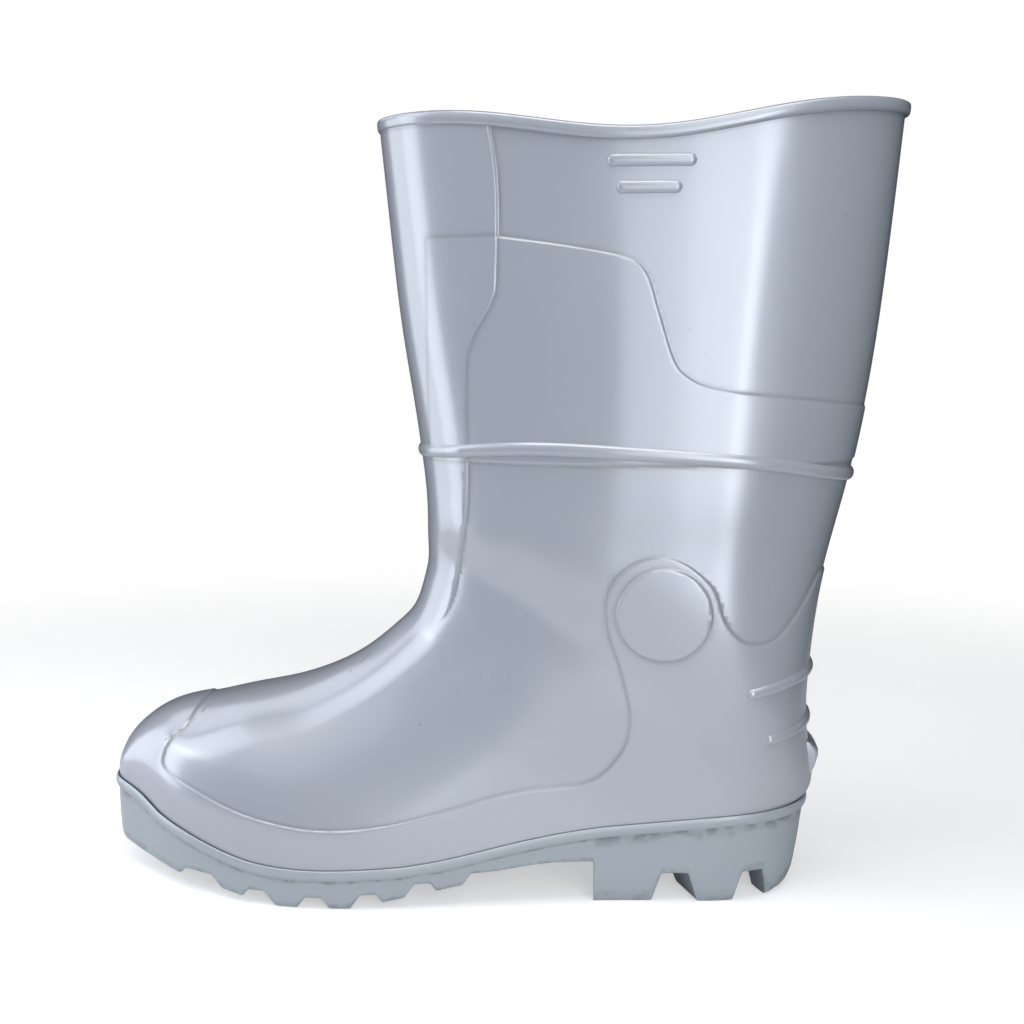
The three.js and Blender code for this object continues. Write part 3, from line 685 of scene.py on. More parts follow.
def mixColours(tree, share, first, second, kind="MIX"):
    node = addNode(tree, "ShaderNodeMix", {"data_type": "RGBA", "blend_type": kind})
    for socket, value in ((node.inputs[0], share), (node.inputs[6], first), (node.inputs[7], second)):
        if isinstance(value, (int, float, tuple)):
            socket.default_value = value
        else:
            tree.links.new(value, socket)
    return node.outputs[2]


# The dark colour serves the specks, the scuffs and the painted shade lines along panel steps, under the
# collar bead and under the sole's rim.
mouldedLook = {
    "upper": {
        "colour": (0.425, 0.455, 0.505, 1), "warmer": (0.445, 0.465, 0.505, 1),
        "grimeAndShade": (0.085, 0.090, 0.090, 1),
        "roughness": 0.27, "roughnessVaries": 0.08, "shine": 1.0, "coat": 1.0, "coatRoughness": 0.17,
        "grain": 0.04, "waviness": 0.10, "edgeGrimeAndShade": 0.12, "edgeShade": 0.32,
    },
    "sole": {
        "colour": (0.385, 0.430, 0.465, 1), "warmer": (0.410, 0.445, 0.475, 1),
        "grimeAndShade": (0.06, 0.067, 0.065, 1),
        "roughness": 0.36, "roughnessVaries": 0.14, "shine": 0.8, "coat": 0.5, "coatRoughness": 0.24,
        "grain": 0.10, "waviness": 0.16, "edgeGrimeAndShade": 0.60, "edgeShade": 0.12,
    },
}
# Marks on the outer side, as seen from that side: from, to (x, z), half width, breaks, strength.
upperMarks = [
    ((-115.2, 58.1), (-108.1, 62.3), 1.1, 0.8, 0.75),
    ((-108.1, 62.3), (-101.0, 68.7), 0.8, 0.8, 0.70),
    ((-9.6, 70.4), (-9.2, 70.5), 0.6, 0.1, 0.60),
    ((-36.9, 88.8), (-33.3, 92.0), 0.35, 0.4, 0.45),
    ((-41.0, 85.2), (-40.4, 85.8), 0.45, 0.2, 0.45),
    ((149.0, 264.6), (149.3, 265.0), 0.5, 0.1, 0.50),
    ((92.1, 222.8), (92.3, 223.2), 0.4, 0.1, 0.50),
    ((97.7, 214.8), (98.0, 214.6), 0.4, 0.1, 0.40),
    ((47.9, 288.0), (48.2, 288.0), 0.4, 0.1, 0.45),
]


def seenFromSide(place):
    return ((place[0] + offset[0]) * mm, 0, place[1] * mm)


def mouldedMaterial(name, look, marks):
    material = bpy.data.materials.new(name)
    material.use_nodes = True
    tree = material.node_tree
    surface = tree.nodes["Principled BSDF"]
    where = addNode(tree, "ShaderNodeTexCoord").outputs["Object"]
    broad = placeGroup(tree, clouds, where, {"Scale": 6.0, "Low": 0.2, "High": 0.8})
    smudge = placeGroup(tree, clouds, where, {"Scale": 14.0, "Low": 0.25, "High": 0.85})
    dots = placeGroup(tree, specks, where, {"Scale": 85.0, "Share": 0.035, "Size": 0.10})
    # Painted shade: this mask marks dark lines at the foot of each panel step, under the collar bead and
    # under the sole's rim. One strength breaks them into patches of grime, and edgeShade keeps a continuous
    # painted shade line.
    edge = addNode(tree, "ShaderNodeAttribute", {"attribute_name": "grimeAndShade"}).outputs["Fac"]
    edgeDarkBreaks = placeGroup(tree, clouds, where, {"Scale": 160.0, "Low": 0.40, "High": 0.62})
    grimeAndShade = mathNode(tree, "MULTIPLY", mathNode(tree, "MULTIPLY", edge, edgeDarkBreaks), look["edgeGrimeAndShade"])
    grimeAndShade = mathNode(tree, "MAXIMUM", grimeAndShade, mathNode(tree, "MULTIPLY", edge, look["edgeShade"]))
    colour = mixColours(tree, broad, look["colour"], look["warmer"])
    dustAndShade = mathNode(tree, "MAXIMUM", grimeAndShade, mathNode(tree, "MULTIPLY", dots, 0.5))
    for start, end, width, breaks, strength in marks:
        mark = placeGroup(tree, streaks, where, {"From": seenFromSide(start), "To": seenFromSide(end),
                                                "Width": width * mm, "Breaks": breaks})
        dustAndShade = mathNode(tree, "MAXIMUM", dustAndShade, mathNode(tree, "MULTIPLY", mark, strength))
    colour = mixColours(tree, dustAndShade, colour, look["grimeAndShade"])
    tree.links.new(colour, surface.inputs["Base Color"])
    rough = mathNode(tree, "ADD", mathNode(tree, "MULTIPLY", smudge, look["roughnessVaries"]),
                     look["roughness"])
    rough = mathNode(tree, "ADD", rough, mathNode(tree, "MULTIPLY", dustAndShade, 0.35), clamp=True)
    tree.links.new(rough, surface.inputs["Roughness"])
    surface.inputs["Coat Weight"].default_value = look["coat"]
    surface.inputs["Coat Roughness"].default_value = look["coatRoughness"]
    surface.inputs["IOR"].default_value = 1.54
    surface.inputs["Specular IOR Level"].default_value = look["shine"]
    surface.inputs["Coat IOR"].default_value = 1.75
    fine = addNode(tree, "ShaderNodeTexNoise", {}, {"Scale": 900.0, "Detail": 3.0})
    wavy = addNode(tree, "ShaderNodeTexNoise", {}, {"Scale": 26.0, "Detail": 1.0})
    for noise in (fine, wavy):
        tree.links.new(where, noise.inputs["Vector"])
    bumpFine = addNode(tree, "ShaderNodeBump", {}, {"Strength": look["grain"], "Distance": 0.0004})
    bumpWavy = addNode(tree, "ShaderNodeBump", {}, {"Strength": look["waviness"], "Distance": 0.0015})
    tree.links.new(fine.outputs["Fac"], bumpFine.inputs["Height"])
    tree.links.new(wavy.outputs["Fac"], bumpWavy.inputs["Height"])
    tree.links.new(bumpWavy.outputs["Normal"], bumpFine.inputs["Normal"])
    tree.links.new(bumpFine.outputs["Normal"], surface.inputs["Normal"])
    return material


upperMaterial = mouldedMaterial("glossyUpper", mouldedLook["upper"], upperMarks)
soleMaterial = mouldedMaterial("satinSole", mouldedLook["sole"], [])


knit = {"colour": (0.72, 0.72, 0.70, 1), "shade": (0.52, 0.52, 0.50, 1), "pitch": 700.0}


def knitMaterial(name, colour, shade, pitch):
    material = bpy.data.materials.new(name)
    material.use_nodes = True
    tree = material.node_tree
    surface = tree.nodes["Principled BSDF"]
    where = addNode(tree, "ShaderNodeTexCoord").outputs["Object"]
    courses = addNode(tree, "ShaderNodeTexWave", {"wave_type": "BANDS", "bands_direction": "Z"},
                      {"Scale": pitch, "Distortion": 1.5, "Detail": 1.0})
    wales = addNode(tree, "ShaderNodeTexWave", {"wave_type": "BANDS", "bands_direction": "X"},
                    {"Scale": pitch * 0.8, "Distortion": 1.5, "Detail": 1.0})
    for wave in (courses, wales):
        tree.links.new(where, wave.inputs["Vector"])
    loops = mathNode(tree, "MULTIPLY", courses.outputs["Fac"], wales.outputs["Fac"])
    soft = placeGroup(tree, clouds, where, {"Scale": 18.0, "Low": 0.3, "High": 0.7})
    tint = mixColours(tree, mathNode(tree, "MULTIPLY", soft, 0.35), colour, shade)
    tree.links.new(mixColours(tree, mathNode(tree, "SUBTRACT", 1.0, loops, clamp=True), tint, shade),
                   surface.inputs["Base Color"])
    surface.inputs["Roughness"].default_value = 0.95
    surface.inputs["Sheen Weight"].default_value = 0.3
    bump = addNode(tree, "ShaderNodeBump", {}, {"Strength": 0.6, "Distance": 0.0005})
    tree.links.new(loops, bump.inputs["Height"])
    tree.links.new(bump.outputs["Normal"], surface.inputs["Normal"])
    return material


liningMaterial = knitMaterial("knitLining", knit["colour"], knit["shade"], knit["pitch"])
footbedMaterial = knitMaterial("feltFootbed", (0.60, 0.60, 0.57, 1), (0.42, 0.42, 0.40, 1), 380.0)
print("materials ready")


# The upper: foot and ankle up to the ring, then the shaft with its collar bead.
upper = {
    "bandRows": (15.5, 20.5),
    "collarRowsFrom": 17,
    "belowBand": 60.0,
    "aboveBand": 128.0,
    "footColumns": 112,
    "shaftColumns": 168,
    "rowStep": 1.45,
    "evenRow": 15.0,
    "skirtTuck": 1.8,
    "skirtDrops": (2.2, 6.0),
    # drop below the collar, growth of the wall
    "collarProfile": [(5.1, 0.0), (4.8, 0.9), (4.45, 1.5), (3.9, 1.8), (2.6, 1.85), (1.4, 1.8), (0.75, 1.6),
                      (0.3, 1.15), (0.03, 0.4),
                      (0.0, -0.5), (0.15, -1.4), (0.7, -2.1), (1.6, -2.45), (3.0, -2.5), (6.0, -2.5),
                      (14.0, -2.5)],
}


# Rows so spaced that no column steps further than the step.
def evenRows(step, last):
    rows = np.linspace(0, last, 1501)
    longest = np.zeros(len(rows) - 1)
    for side in (-1, 1):
        for turn in (0.0, 0.3, 0.6, 0.85, 1.0):
            points = skin(rows, np.full(len(rows), turn), side)
            longest = np.maximum(longest, np.linalg.norm(np.diff(points, axis=0), axis=-1))
    travelled = np.concatenate([[0], np.cumsum(longest)])
    count = int(travelled[-1] / step) + 1
    return np.interp(np.linspace(0, travelled[-1], count), travelled, rows)


# Both sides side by side: outer from the base to the top, then inner from the top to the base.
def bothSides(outer, inner):
    return np.concatenate([outer[:, ::-1], inner[:, 1:]], axis=1)


def footGrid(columns, step):
    sides = {side: EvenTurns(side, columns) for side in (-1, 1)}
    lower = evenRows(step, upper["evenRow"])
    grids = {}
    for side, turns in sides.items():
        toBand = turns.rowsOn(bandHeight, *upper["bandRows"])
        legRows = int(upper["belowBand"] / step) + 1
        shares = np.linspace(0, 1, legRows)[1:, None]
        rows = np.vstack([np.repeat(lower[:, None], columns + 1, 1),
                          mix(upper["evenRow"], toBand[None, :], shares)])
        grids[side] = turns.points(rows)
        rowNumbers = rows[:, 0]
    return bothSides(grids[-1], grids[1]), rowNumbers


def footPiece():
    columns, step = upper["footColumns"], upper["rowStep"]
    grid, rowNumbers = footGrid(columns, step)
    joined = rowNumbers >= heelRow
    normals = gridNormals(grid, joined)
    normals[0] = unit(normals[2].mean(0))
    rows, width = grid.shape[:2]
    rimRows = np.nonzero(rowNumbers <= heelRow)[0]
    rimOut = unit(normals[rimRows][:, [0, -1]] * (1, 1, 0))
    bare, outward, faces, rise, edge = raisePanels(grid, normals, gridFaces(rows, width))
    rise = rise + softRise(bare, np.sign(bare[:, 1]))
    points = bare + outward * rise[:, None]
    rings = []
    # each side's skirt hangs from its end of the rim rows
    ends = np.stack([points[rimRows * width], points[rimRows * width + width - 1]], 1)
    for drop in upper["skirtDrops"]:
        ring = ends - rimOut * upper["skirtTuck"]
        ring[..., 2] -= drop
        rings.append(ring)
    allPoints = [points]
    start = len(points)
    bareCount = start
    count = len(rimRows)
    for end, corner in ((0, 0), (1, width - 1)):
        before = [i * width + corner for i in rimRows]
        for ring in rings:
            allPoints.append(ring[:, end])
            now = list(range(start, start + count))
            start += count
            for i in range(count - 1):
                quad = (before[i], now[i], now[i + 1], before[i + 1])
                faces.append(quad if end else quad[::-1])
            before = now
    masks = {"grimeAndShade": np.concatenate([edge, np.zeros(start - bareCount)])}
    points, faces, masks = weld(np.vstack(allPoints), faces, masks)
    return meshPiece("upper_foot", points, faces, upperMaterial, masks, sharpAbove=50)


def shaftGrid(columns, step):
    grids = {}
    for side in (-1, 1):
        turns = EvenTurns(side, columns)
        start = turns.rowsOn(bandHeight, *upper["bandRows"])
        drops = upper["collarProfile"]
        under = turns.rowsOn(lambda x: collarHeight(x) - drops[0][0], upper["collarRowsFrom"], collarRow)
        count = int(upper["aboveBand"] / step) + 1
        shares = np.linspace(0, 1, count)[:, None]
        rows = [mix(start[None, :], under[None, :], shares)]
        for drop, _ in drops[1:]:
            edgeRows = turns.rowsOn(lambda x: collarHeight(x) - drop, upper["collarRowsFrom"], lastRow)
            rows.append(edgeRows[None, :])
        grids[side] = turns.points(np.vstack(rows))
    return bothSides(grids[-1], grids[1]), count


def shaftPiece():
    columns, step = upper["shaftColumns"], upper["rowStep"]
    grid, plain = shaftGrid(columns, step)
    joined = np.ones(len(grid), bool)
    outside = grid[:plain + 8]
    normals = gridNormals(outside, joined[:plain + 8])
    inward = np.repeat(normals[-1:], len(grid) - len(normals), 0)
    normals = np.concatenate([normals, inward])
    width = grid.shape[1]
    bare, outward, faces, rise, edge = raisePanels(grid[:plain], normals[:plain], gridFaces(plain, width))
    toCollar = collarHeight(bare[:, 0]) - upper["collarProfile"][0][0] - bare[:, 2]
    rise = rise + softRise(bare, np.sign(bare[:, 1])) * smooth(toCollar, 0, 20)
    # Painted shade: the edge mask also darkens a thin line just under the collar bead.
    edge = np.maximum(edge, smooth(toCollar, 1.2, 0.2))
    points = bare + outward * rise[:, None]
    last = np.arange((plain - 1) * width, plain * width)
    growth = np.array([g for _, g in upper["collarProfile"][1:]])[:, None]
    grown = np.where(growth > 0.5, np.maximum(growth, rise[last]), growth)
    lip = (grid[plain:] + normals[plain:] * grown[..., None]).reshape(-1, 3)
    start = len(points)
    ringsOf = [last] + [np.arange(start + k * width, start + (k + 1) * width) for k in range(len(growth))]
    for below, above in zip(ringsOf, ringsOf[1:]):
        for j in range(width - 1):
            faces.append((below[j], above[j], above[j + 1], below[j + 1]))
    masks = {"grimeAndShade": np.concatenate([edge, np.zeros(len(lip))])}
    points, faces, masks = weld(np.vstack([points, lip]), faces, masks)
    return meshPiece("upper_shaft", points, faces, upperMaterial, masks, sharpAbove=50)


rimSpan = []
for side in (-1, 1):
    rimPoints = skin(np.linspace(0, heelRow, 400), np.full(400, 1.0), side)
    rimSpan.append(rimPoints[:, 1].min() if side < 0 else rimPoints[:, 1].max())
soleLow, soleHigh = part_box("outsole")
offset[1] = ((soleLow.y + soleHigh.y) / mm - (rimSpan[0] + rimSpan[1])) / 2

foot = footPiece()
shaft = shaftPiece()
print("upper", len(foot.data.polygons), len(shaft.data.polygons), "offset", offset.round(3))


# Strips moulded on the wall, swept along their paths by one tree: a half round that keeps the wall's normal.
def stripTree():
    tree = bpy.data.node_groups.new("mouldedStrip", "GeometryNodeTree")
    tree.interface.new_socket("Path", in_out="INPUT", socket_type="NodeSocketGeometry")
    for label, value in (("Width", 0.004), ("Rise", 0.0018), ("Sunk", 0.0006)):
        tree.interface.new_socket(label, in_out="INPUT", socket_type="NodeSocketFloat").default_value = value
    tree.interface.new_socket("Sides", in_out="INPUT", socket_type="NodeSocketInt").default_value = 28
    tree.interface.new_socket("Material", in_out="INPUT", socket_type="NodeSocketMaterial")
    tree.interface.new_socket("Strip", in_out="OUTPUT", socket_type="NodeSocketGeometry")
    link = tree.links.new
    given, result = tree.nodes.new("NodeGroupInput"), tree.nodes.new("NodeGroupOutput")

    def named(label, kind):
        node = addNode(tree, "GeometryNodeInputNamedAttribute", {"data_type": kind})
        node.inputs["Name"].default_value = label
        return node.outputs["Attribute"]

    line = tree.nodes.new("GeometryNodeMeshToCurve")
    link(given.outputs["Path"], line.inputs["Mesh"])
    facing = addNode(tree, "GeometryNodeSetCurveNormal", {"mode": "FREE"})
    link(line.outputs["Curve"], facing.inputs["Curve"])
    link(named("outward", "FLOAT_VECTOR"), facing.inputs["Normal"])
    thick = tree.nodes.new("GeometryNodeSetCurveRadius")
    link(facing.outputs["Curve"], thick.inputs["Curve"])
    link(named("girth", "FLOAT"), thick.inputs["Radius"])
    ring = addNode(tree, "GeometryNodeCurvePrimitiveCircle", {"mode": "RADIUS"}, {"Radius": 1.0})
    link(given.outputs["Sides"], ring.inputs["Resolution"])
    place = tree.nodes.new("GeometryNodeInputPosition")
    parts = tree.nodes.new("ShaderNodeSeparateXYZ")
    link(place.outputs["Position"], parts.inputs["Vector"])
    raised = mathNode(tree, "MULTIPLY", mathNode(tree, "MAXIMUM", parts.outputs["X"], 0.0),
                      given.outputs["Rise"])
    sunk = mathNode(tree, "MULTIPLY", mathNode(tree, "MINIMUM", parts.outputs["X"], 0.0),
                    given.outputs["Sunk"])
    half = mathNode(tree, "MULTIPLY", parts.outputs["Y"],
                    mathNode(tree, "MULTIPLY", given.outputs["Width"], 0.5))
    joined = tree.nodes.new("ShaderNodeCombineXYZ")
    link(mathNode(tree, "ADD", raised, sunk), joined.inputs["X"])
    link(half, joined.inputs["Y"])
    shaped = tree.nodes.new("GeometryNodeSetPosition")
    link(ring.outputs["Curve"], shaped.inputs["Geometry"])
    link(joined.outputs["Vector"], shaped.inputs["Position"])
    swept = addNode(tree, "GeometryNodeCurveToMesh", {}, {"Fill Caps": True})
    link(thick.outputs["Curve"], swept.inputs["Curve"])
    link(shaped.outputs["Geometry"], swept.inputs["Profile Curve"])
    link(named("girth", "FLOAT"), swept.inputs["Scale"])
    real = tree.nodes.new("GeometryNodeRealizeInstances")
    link(swept.outputs["Mesh"], real.inputs["Geometry"])
    dressed = tree.nodes.new("GeometryNodeSetMaterial")
    link(real.outputs["Geometry"], dressed.inputs["Geometry"])
    link(given.outputs["Material"], dressed.inputs["Material"])
    link(dressed.outputs["Geometry"], result.inputs["Strip"])
    return tree


stripNodes = stripTree()


def stripPiece(name, paths, sizes):
    mesh = bpy.data.meshes.new(name + "_paths")
    points, edges, outward, girth = [], [], [], []
    for path in paths:
        start = len(points)
        count = len(path["points"])
        points.extend(path["points"])
        outward.extend(path["outward"])
        girth.extend(path["girth"])
        edges.extend((start + i, start + i + 1) for i in range(count - 1))
        if path.get("closed"):
            edges.append((start + count - 1, start))
    mesh.from_pydata(((np.array(points) + offset) * mm).tolist(), edges, [])
    ways = np.array(outward, np.float32).ravel()
    mesh.attributes.new("outward", "FLOAT_VECTOR", "POINT").data.foreach_set("vector", ways)
    mesh.attributes.new("girth", "FLOAT", "POINT").data.foreach_set("value", np.array(girth, np.float32))
    source = bpy.data.objects.new(name + "_paths", mesh)
    bpy.context.scene.collection.objects.link(source)
    modifier = source.modifiers.new("strip", "NODES")
    modifier.node_group = stripNodes
    items = stripNodes.interface.items_tree
    sockets = {item.name: item.identifier for item in items if item.in_out == "INPUT"}
    modifier[sockets["Width"]] = sizes["width"] * mm
    modifier[sockets["Rise"]] = sizes["rise"] * mm
    modifier[sockets["Sunk"]] = sizes["sunk"] * mm
    modifier[sockets["Sides"]] = sizes["sides"]
    modifier[sockets["Material"]] = upperMaterial
    graph = bpy.context.evaluated_depsgraph_get()
    result = bpy.data.meshes.new_from_object(source.evaluated_get(graph))
    result.name = name
    piece = bpy.data.objects.new(name, result)
    bpy.context.scene.collection.objects.link(piece)
    source.modifiers.remove(modifier)
    bpy.data.objects.remove(source)
    result.polygons.foreach_set("use_smooth", [True] * len(result.polygons))
    result.set_sharp_from_angle(angle=math.radians(50))
    return piece


# Columns of one side followed along a line that is seen from the side.
def followedLine(lineHeight, side, low, high, columns=420):
    turns = EvenTurns(side, columns)
    rows = turns.rowsOn(lineHeight, low, high)
    middle = turns.points(rows[None, :])[0]
    above = turns.points(rows[None, :] + 0.03)[0]
    return middle, above - middle


def panelRiseAt(points):
    best = np.zeros(len(points))
    for region, height in panelRegions():
        distance = edgeDistance(points[:, [0, 2]], region)
        best = np.maximum(best, height * np.clip(distance / panels["stepWidth"] + 0.5, 0, 1))
    return best


# A closed or open path round the boot, from the front on the outer side over the back to the inner side.
def pathRound(lineHeight, low, high):
    outer, outerUp = followedLine(lineHeight, -1, low, high)
    inner, innerUp = followedLine(lineHeight, 1, low, high)
    points = np.vstack([outer, inner[::-1][1:-1]])
    upward = np.vstack([outerUp, innerUp[::-1][1:-1]])
    along = np.roll(points, -1, axis=0) - np.roll(points, 1, axis=0)
    normals = unit(np.cross(upward, along))
    centre = np.array([legAxis, 0, 0])
    facing = ((points - centre) * (1, 1, 0) * normals).sum(-1).mean()
    return points, normals * (1 if facing > 0 else -1)


def evenly(points, normals, step, closed=False):
    if closed:
        points, normals = np.vstack([points, points[:1]]), np.vstack([normals, normals[:1]])
    travelled = np.concatenate([[0], np.cumsum(np.linalg.norm(np.diff(points, axis=0), axis=-1))])
    count = max(int(travelled[-1] / step), 8)
    places = np.linspace(0, travelled[-1], count + 1)
    if closed:
        places = places[:-1]

    def pick(values):
        return np.stack([np.interp(places, travelled, values[:, k]) for k in range(3)], -1)

    return pick(points), unit(pick(normals)), places, travelled[-1]


# Girth that rounds off an open strip's ends.
def roundedGirth(places, length, radius):
    toEnd = np.minimum(places, length - places)
    return np.sqrt(np.maximum(1 - np.clip(1 - toEnd / radius, 0, 1) ** 2, 0.02))


strips = {
    "band": {"width": 5.2, "rise": 1.8, "sunk": 0.7, "sides": 26, "step": 1.6},
    "bars": {"width": 4.7, "rise": 1.5, "sunk": 0.6, "sides": 24, "step": 0.5},
    "ribs": {"width": 4.4, "rise": 1.8, "sunk": 0.7, "sides": 24, "step": 0.7},
    "barLines": [((0.718, 0.921), (0.816, 0.921)), ((0.731, 0.890), (0.799, 0.890))],
    "ribLines": [((0.908, 0.276), (1.020, 0.297)), ((0.895, 0.206), (1.020, 0.231))],
}


def straightLine(start, end):
    (x0, z0), (x1, z1) = sideView([start, end])
    return (x0, x1), lambda x: z0 + (x - x0) * (z1 - z0) / (x1 - x0)


def bandPiece():
    points, normals = pathRound(bandHeight, 15.5, 20.5)
    points, normals, places, _ = evenly(points, normals, strips["band"]["step"], closed=True)
    lifted = points + normals * (panelRiseAt(points) * 0.5)[:, None]
    path = {"points": lifted, "outward": normals, "girth": np.ones(len(points)), "closed": True}
    return stripPiece("leg_ring", [path], strips["band"])


def barPaths():
    paths = []
    for start, end in strips["barLines"]:
        (x0, x1), height = straightLine(start, end)
        half = strips["bars"]["width"] / 2
        points, normals = pathRound(height, 17, collarRow)
        for side in (-1, 1):
            keep = (points[:, 0] > x0 - half) & (points[:, 0] < x1 + half) & (points[:, 1] * side > 0)
            line, facing = points[keep], normals[keep]
            order = np.argsort(line[:, 0])
            line, facing, places, length = evenly(line[order], facing[order], strips["bars"]["step"])
            paths.append({"points": line, "outward": facing, "girth": roundedGirth(places, length, half)})
    return paths


def ribPaths():
    paths = []
    for start, end in strips["ribLines"]:
        (x0, _), height = straightLine(start, end)
        half = strips["ribs"]["width"] / 2
        low = 9.5
        outer, outerUp = followedLine(height, -1, low, 18)
        inner, innerUp = followedLine(height, 1, low, 18)
        points = np.vstack([outer, inner[::-1][1:]])
        upward = np.vstack([outerUp, innerUp[::-1][1:]])
        normals = unit(np.cross(upward, np.gradient(points, axis=0)))
        centre = np.array([legAxis, 0, 0])
        if (((points - centre) * (1, 1, 0)) * normals).sum(-1).mean() < 0:
            normals = -normals
        keep = points[:, 0] > x0 - half
        line, facing, places, length = evenly(points[keep], normals[keep], strips["ribs"]["step"])
        line = line + facing * (panelRiseAt(line) * 0.7)[:, None]
        paths.append({"points": line, "outward": facing, "girth": roundedGirth(places, length, half)})
    return paths


ring = bandPiece()
bars = stripPiece("collar_bars", barPaths(), strips["bars"])
ribs = stripPiece("heel_ribs", ribPaths(), strips["ribs"])
print("strips", len(ring.data.polygons), len(bars.data.polygons), len(ribs.data.polygons))


# The kick-off ledge at the back.
spur = {
    "width": 27.0, "reach": 4.3, "height": 13.5, "low": 1.24,
    "profile": [(-0.6, 0), (0, 0), (0.7, 0.35), (0.96, 0.62), (1, 0.8), (0, 1.08), (-0.6, 1.08)],
    "cuts": [(-1, 0.62), (-0.9, 0.84), (-0.6, 0.96), (0, 1), (0.6, 0.96), (0.9, 0.84), (1, 0.62)],
}


def spurPiece():
    face = heelEnd - 1
    low = boot["heelHeight"] * spur["low"]
    points, faces = [], []
    cuts = spur["cuts"]
    for across, reach in cuts:
        for out, up in spur["profile"]:
            x = face + (out * reach if out > 0 else out) * spur["reach"]
            points.append((x, across * spur["width"] / 2, low + up * spur["height"]))
    count = len(spur["profile"])
    for i in range(len(cuts) - 1):
        for j in range(count):
            a, b = i * count + j, i * count + (j + 1) % count
            faces.append((a, b, b + count, a + count))
    faces.append(tuple(range(count))[::-1])
    faces.append(tuple(range((len(cuts) - 1) * count, len(cuts) * count)))
    piece = meshPiece("kick_off_spur", points, faces, upperMaterial)
    bevel = piece.modifiers.new("soft edges", "BEVEL")
    bevel.width = 1.5 * mm
    bevel.segments = 5
    bevel.limit_method = "ANGLE"
    bevel.angle_limit = math.radians(20)
    return piece


heelSpur = spurPiece()


# The sole: one closed cup whose side wall and underside share rows that follow the tread's chevrons.
sole = {
    "chevronReach": 20.0,
    "rimTall": 4.4,
    "rimProud": rimProud,
    "edgeRound": 0.9,
    "wallOut": [(0.0, 0.05), (0.1, 0.25), (0.45, 0.42), (1.0, 0.45)],
    "heelDraft": 0.12,
    "rowStep": 0.85,
    "columns": 52,
    "wallRings": 16,
    "slope": 0.4,
    "flat": 14.0,
    "forefoot": {"first": 0.172, "pitch": 22.0, "count": 5, "edge": 48.5, "width": 13.0, "toeWidth": 17.0,
                 "depth": 4.6, "slant": 0.7},
    "heel": {"at": (0.809, 0.925), "edge": 35.5, "width": 18.0, "depth": 12.0, "slant": 0.32},
    # place along the middle of the sole, chevron's slope there
    "slopes": [(-150, 0.0), (-140, 0.0), (-119, 0.4), (-14, 0.4), (8, 0.0), (60.5, 0.0), (71.5, 0.4),
               (150, 0.4)],
    "corner": 0.7,
}


def chevronX(c, y):
    slopes = np.array(sole["slopes"])
    return c + np.interp(c, slopes[:, 0], slopes[:, 1]) * (np.maximum(np.abs(y), sole["flat"]) - sole["flat"])


def chevronOf(x, y):
    low, high = x - sole["chevronReach"], x + sole["chevronReach"]
    for _ in range(40):
        c = (low + high) / 2
        over = chevronX(c, y) > x
        high = np.where(over, c, high)
        low = np.where(over, low, c)
    return (low + high) / 2


def grooves():
    cuts = []
    fore, heel = sole["forefoot"], sole["heel"]
    for i in range(fore["count"]):
        atEdge = alongSole(fore["first"]) + i * fore["pitch"]
        width = fore["toeWidth"] if i == 0 else fore["width"]
        cuts.append((atEdge - sole["slope"] * (fore["edge"] - sole["flat"]), float(treadHeight(atEdge)),
                     width, fore["depth"], fore["slant"]))
    for share in heel["at"]:
        atEdge = alongSole(share)
        cuts.append((atEdge - sole["slope"] * (heel["edge"] - sole["flat"]), float(treadHeight(atEdge)),
                     heel["width"], heel["depth"], heel["slant"]))
    return cuts


def softMax(a, b, k):
    return (a + b + np.sqrt((a - b) ** 2 + k * k)) / 2


def softMin(a, b, k):
    return (a + b - np.sqrt((a - b) ** 2 + k * k)) / 2


archTable = np.array([(alongSole(along), up * boot["heelHeight"]) for along, up in archLine])


# Height of the underside at a place in plan, given the chevron line that it is on.
def underside(x, c):
    base = treadHeight(x)
    k = sole["corner"]
    height = base
    for middle, low, width, depth, slant in grooves():
        inside = (width / 2 - np.abs(c - middle)) / slant
        near = np.abs(c - middle) < width / 2 + 3
        cut = low + softMin(inside, np.full_like(inside, depth), k)
        height = np.where(near, softMax(height, cut,
                                        k) - k * k / (2 * np.sqrt((height - cut) ** 2 + k * k) + k), height)
    start, end = archTable[0, 0], archTable[-1, 0]
    arch = np.interp(x, archTable[:, 0], archTable[:, 1])
    return np.where((x > start) & (x < end), np.maximum(height, arch), np.maximum(height, 0))


# Rows along the middle of the sole, closer together where the tread is steep.
def soleRows(first, last):
    fine = np.linspace(first, last, 12001)
    height = underside(fine, fine)
    gaps = np.hypot(np.diff(fine), np.diff(height))
    travelled = np.concatenate([[0], np.cumsum(gaps)])
    return np.interp(np.arange(0, travelled[-1], sole["rowStep"]), travelled, fine)


def rimStations():
    rows = np.linspace(0, heelRow, 3001)
    ways = {}
    for side in (-1, 1):
        points = skin(rows, np.ones(len(rows)), side)
        points[-1, 1] = sectionSplines["shift"](np.array(float(heelRow)))
        gaps = np.linalg.norm(np.diff(points[:, :2], axis=0), axis=-1)
        travelled = np.concatenate([[0], np.cumsum(gaps)])
        even = np.linspace(0, travelled[-1], 1600)
        line = np.stack([np.interp(even, travelled, points[:, k]) for k in range(3)], -1)
        along = np.gradient(line[:, :2], axis=0)
        out = unit(np.stack([along[:, 1], -along[:, 0]], -1)) * (-side)
        for _ in range(12):  # evens out the kinks at the ends
            out[1:-1] = unit(out[:-2] + 2 * out[1:-1] + out[2:])
        out[0], out[-1] = (-1, 0), (1, 0)
        ways[side] = (line, out)
    return ways


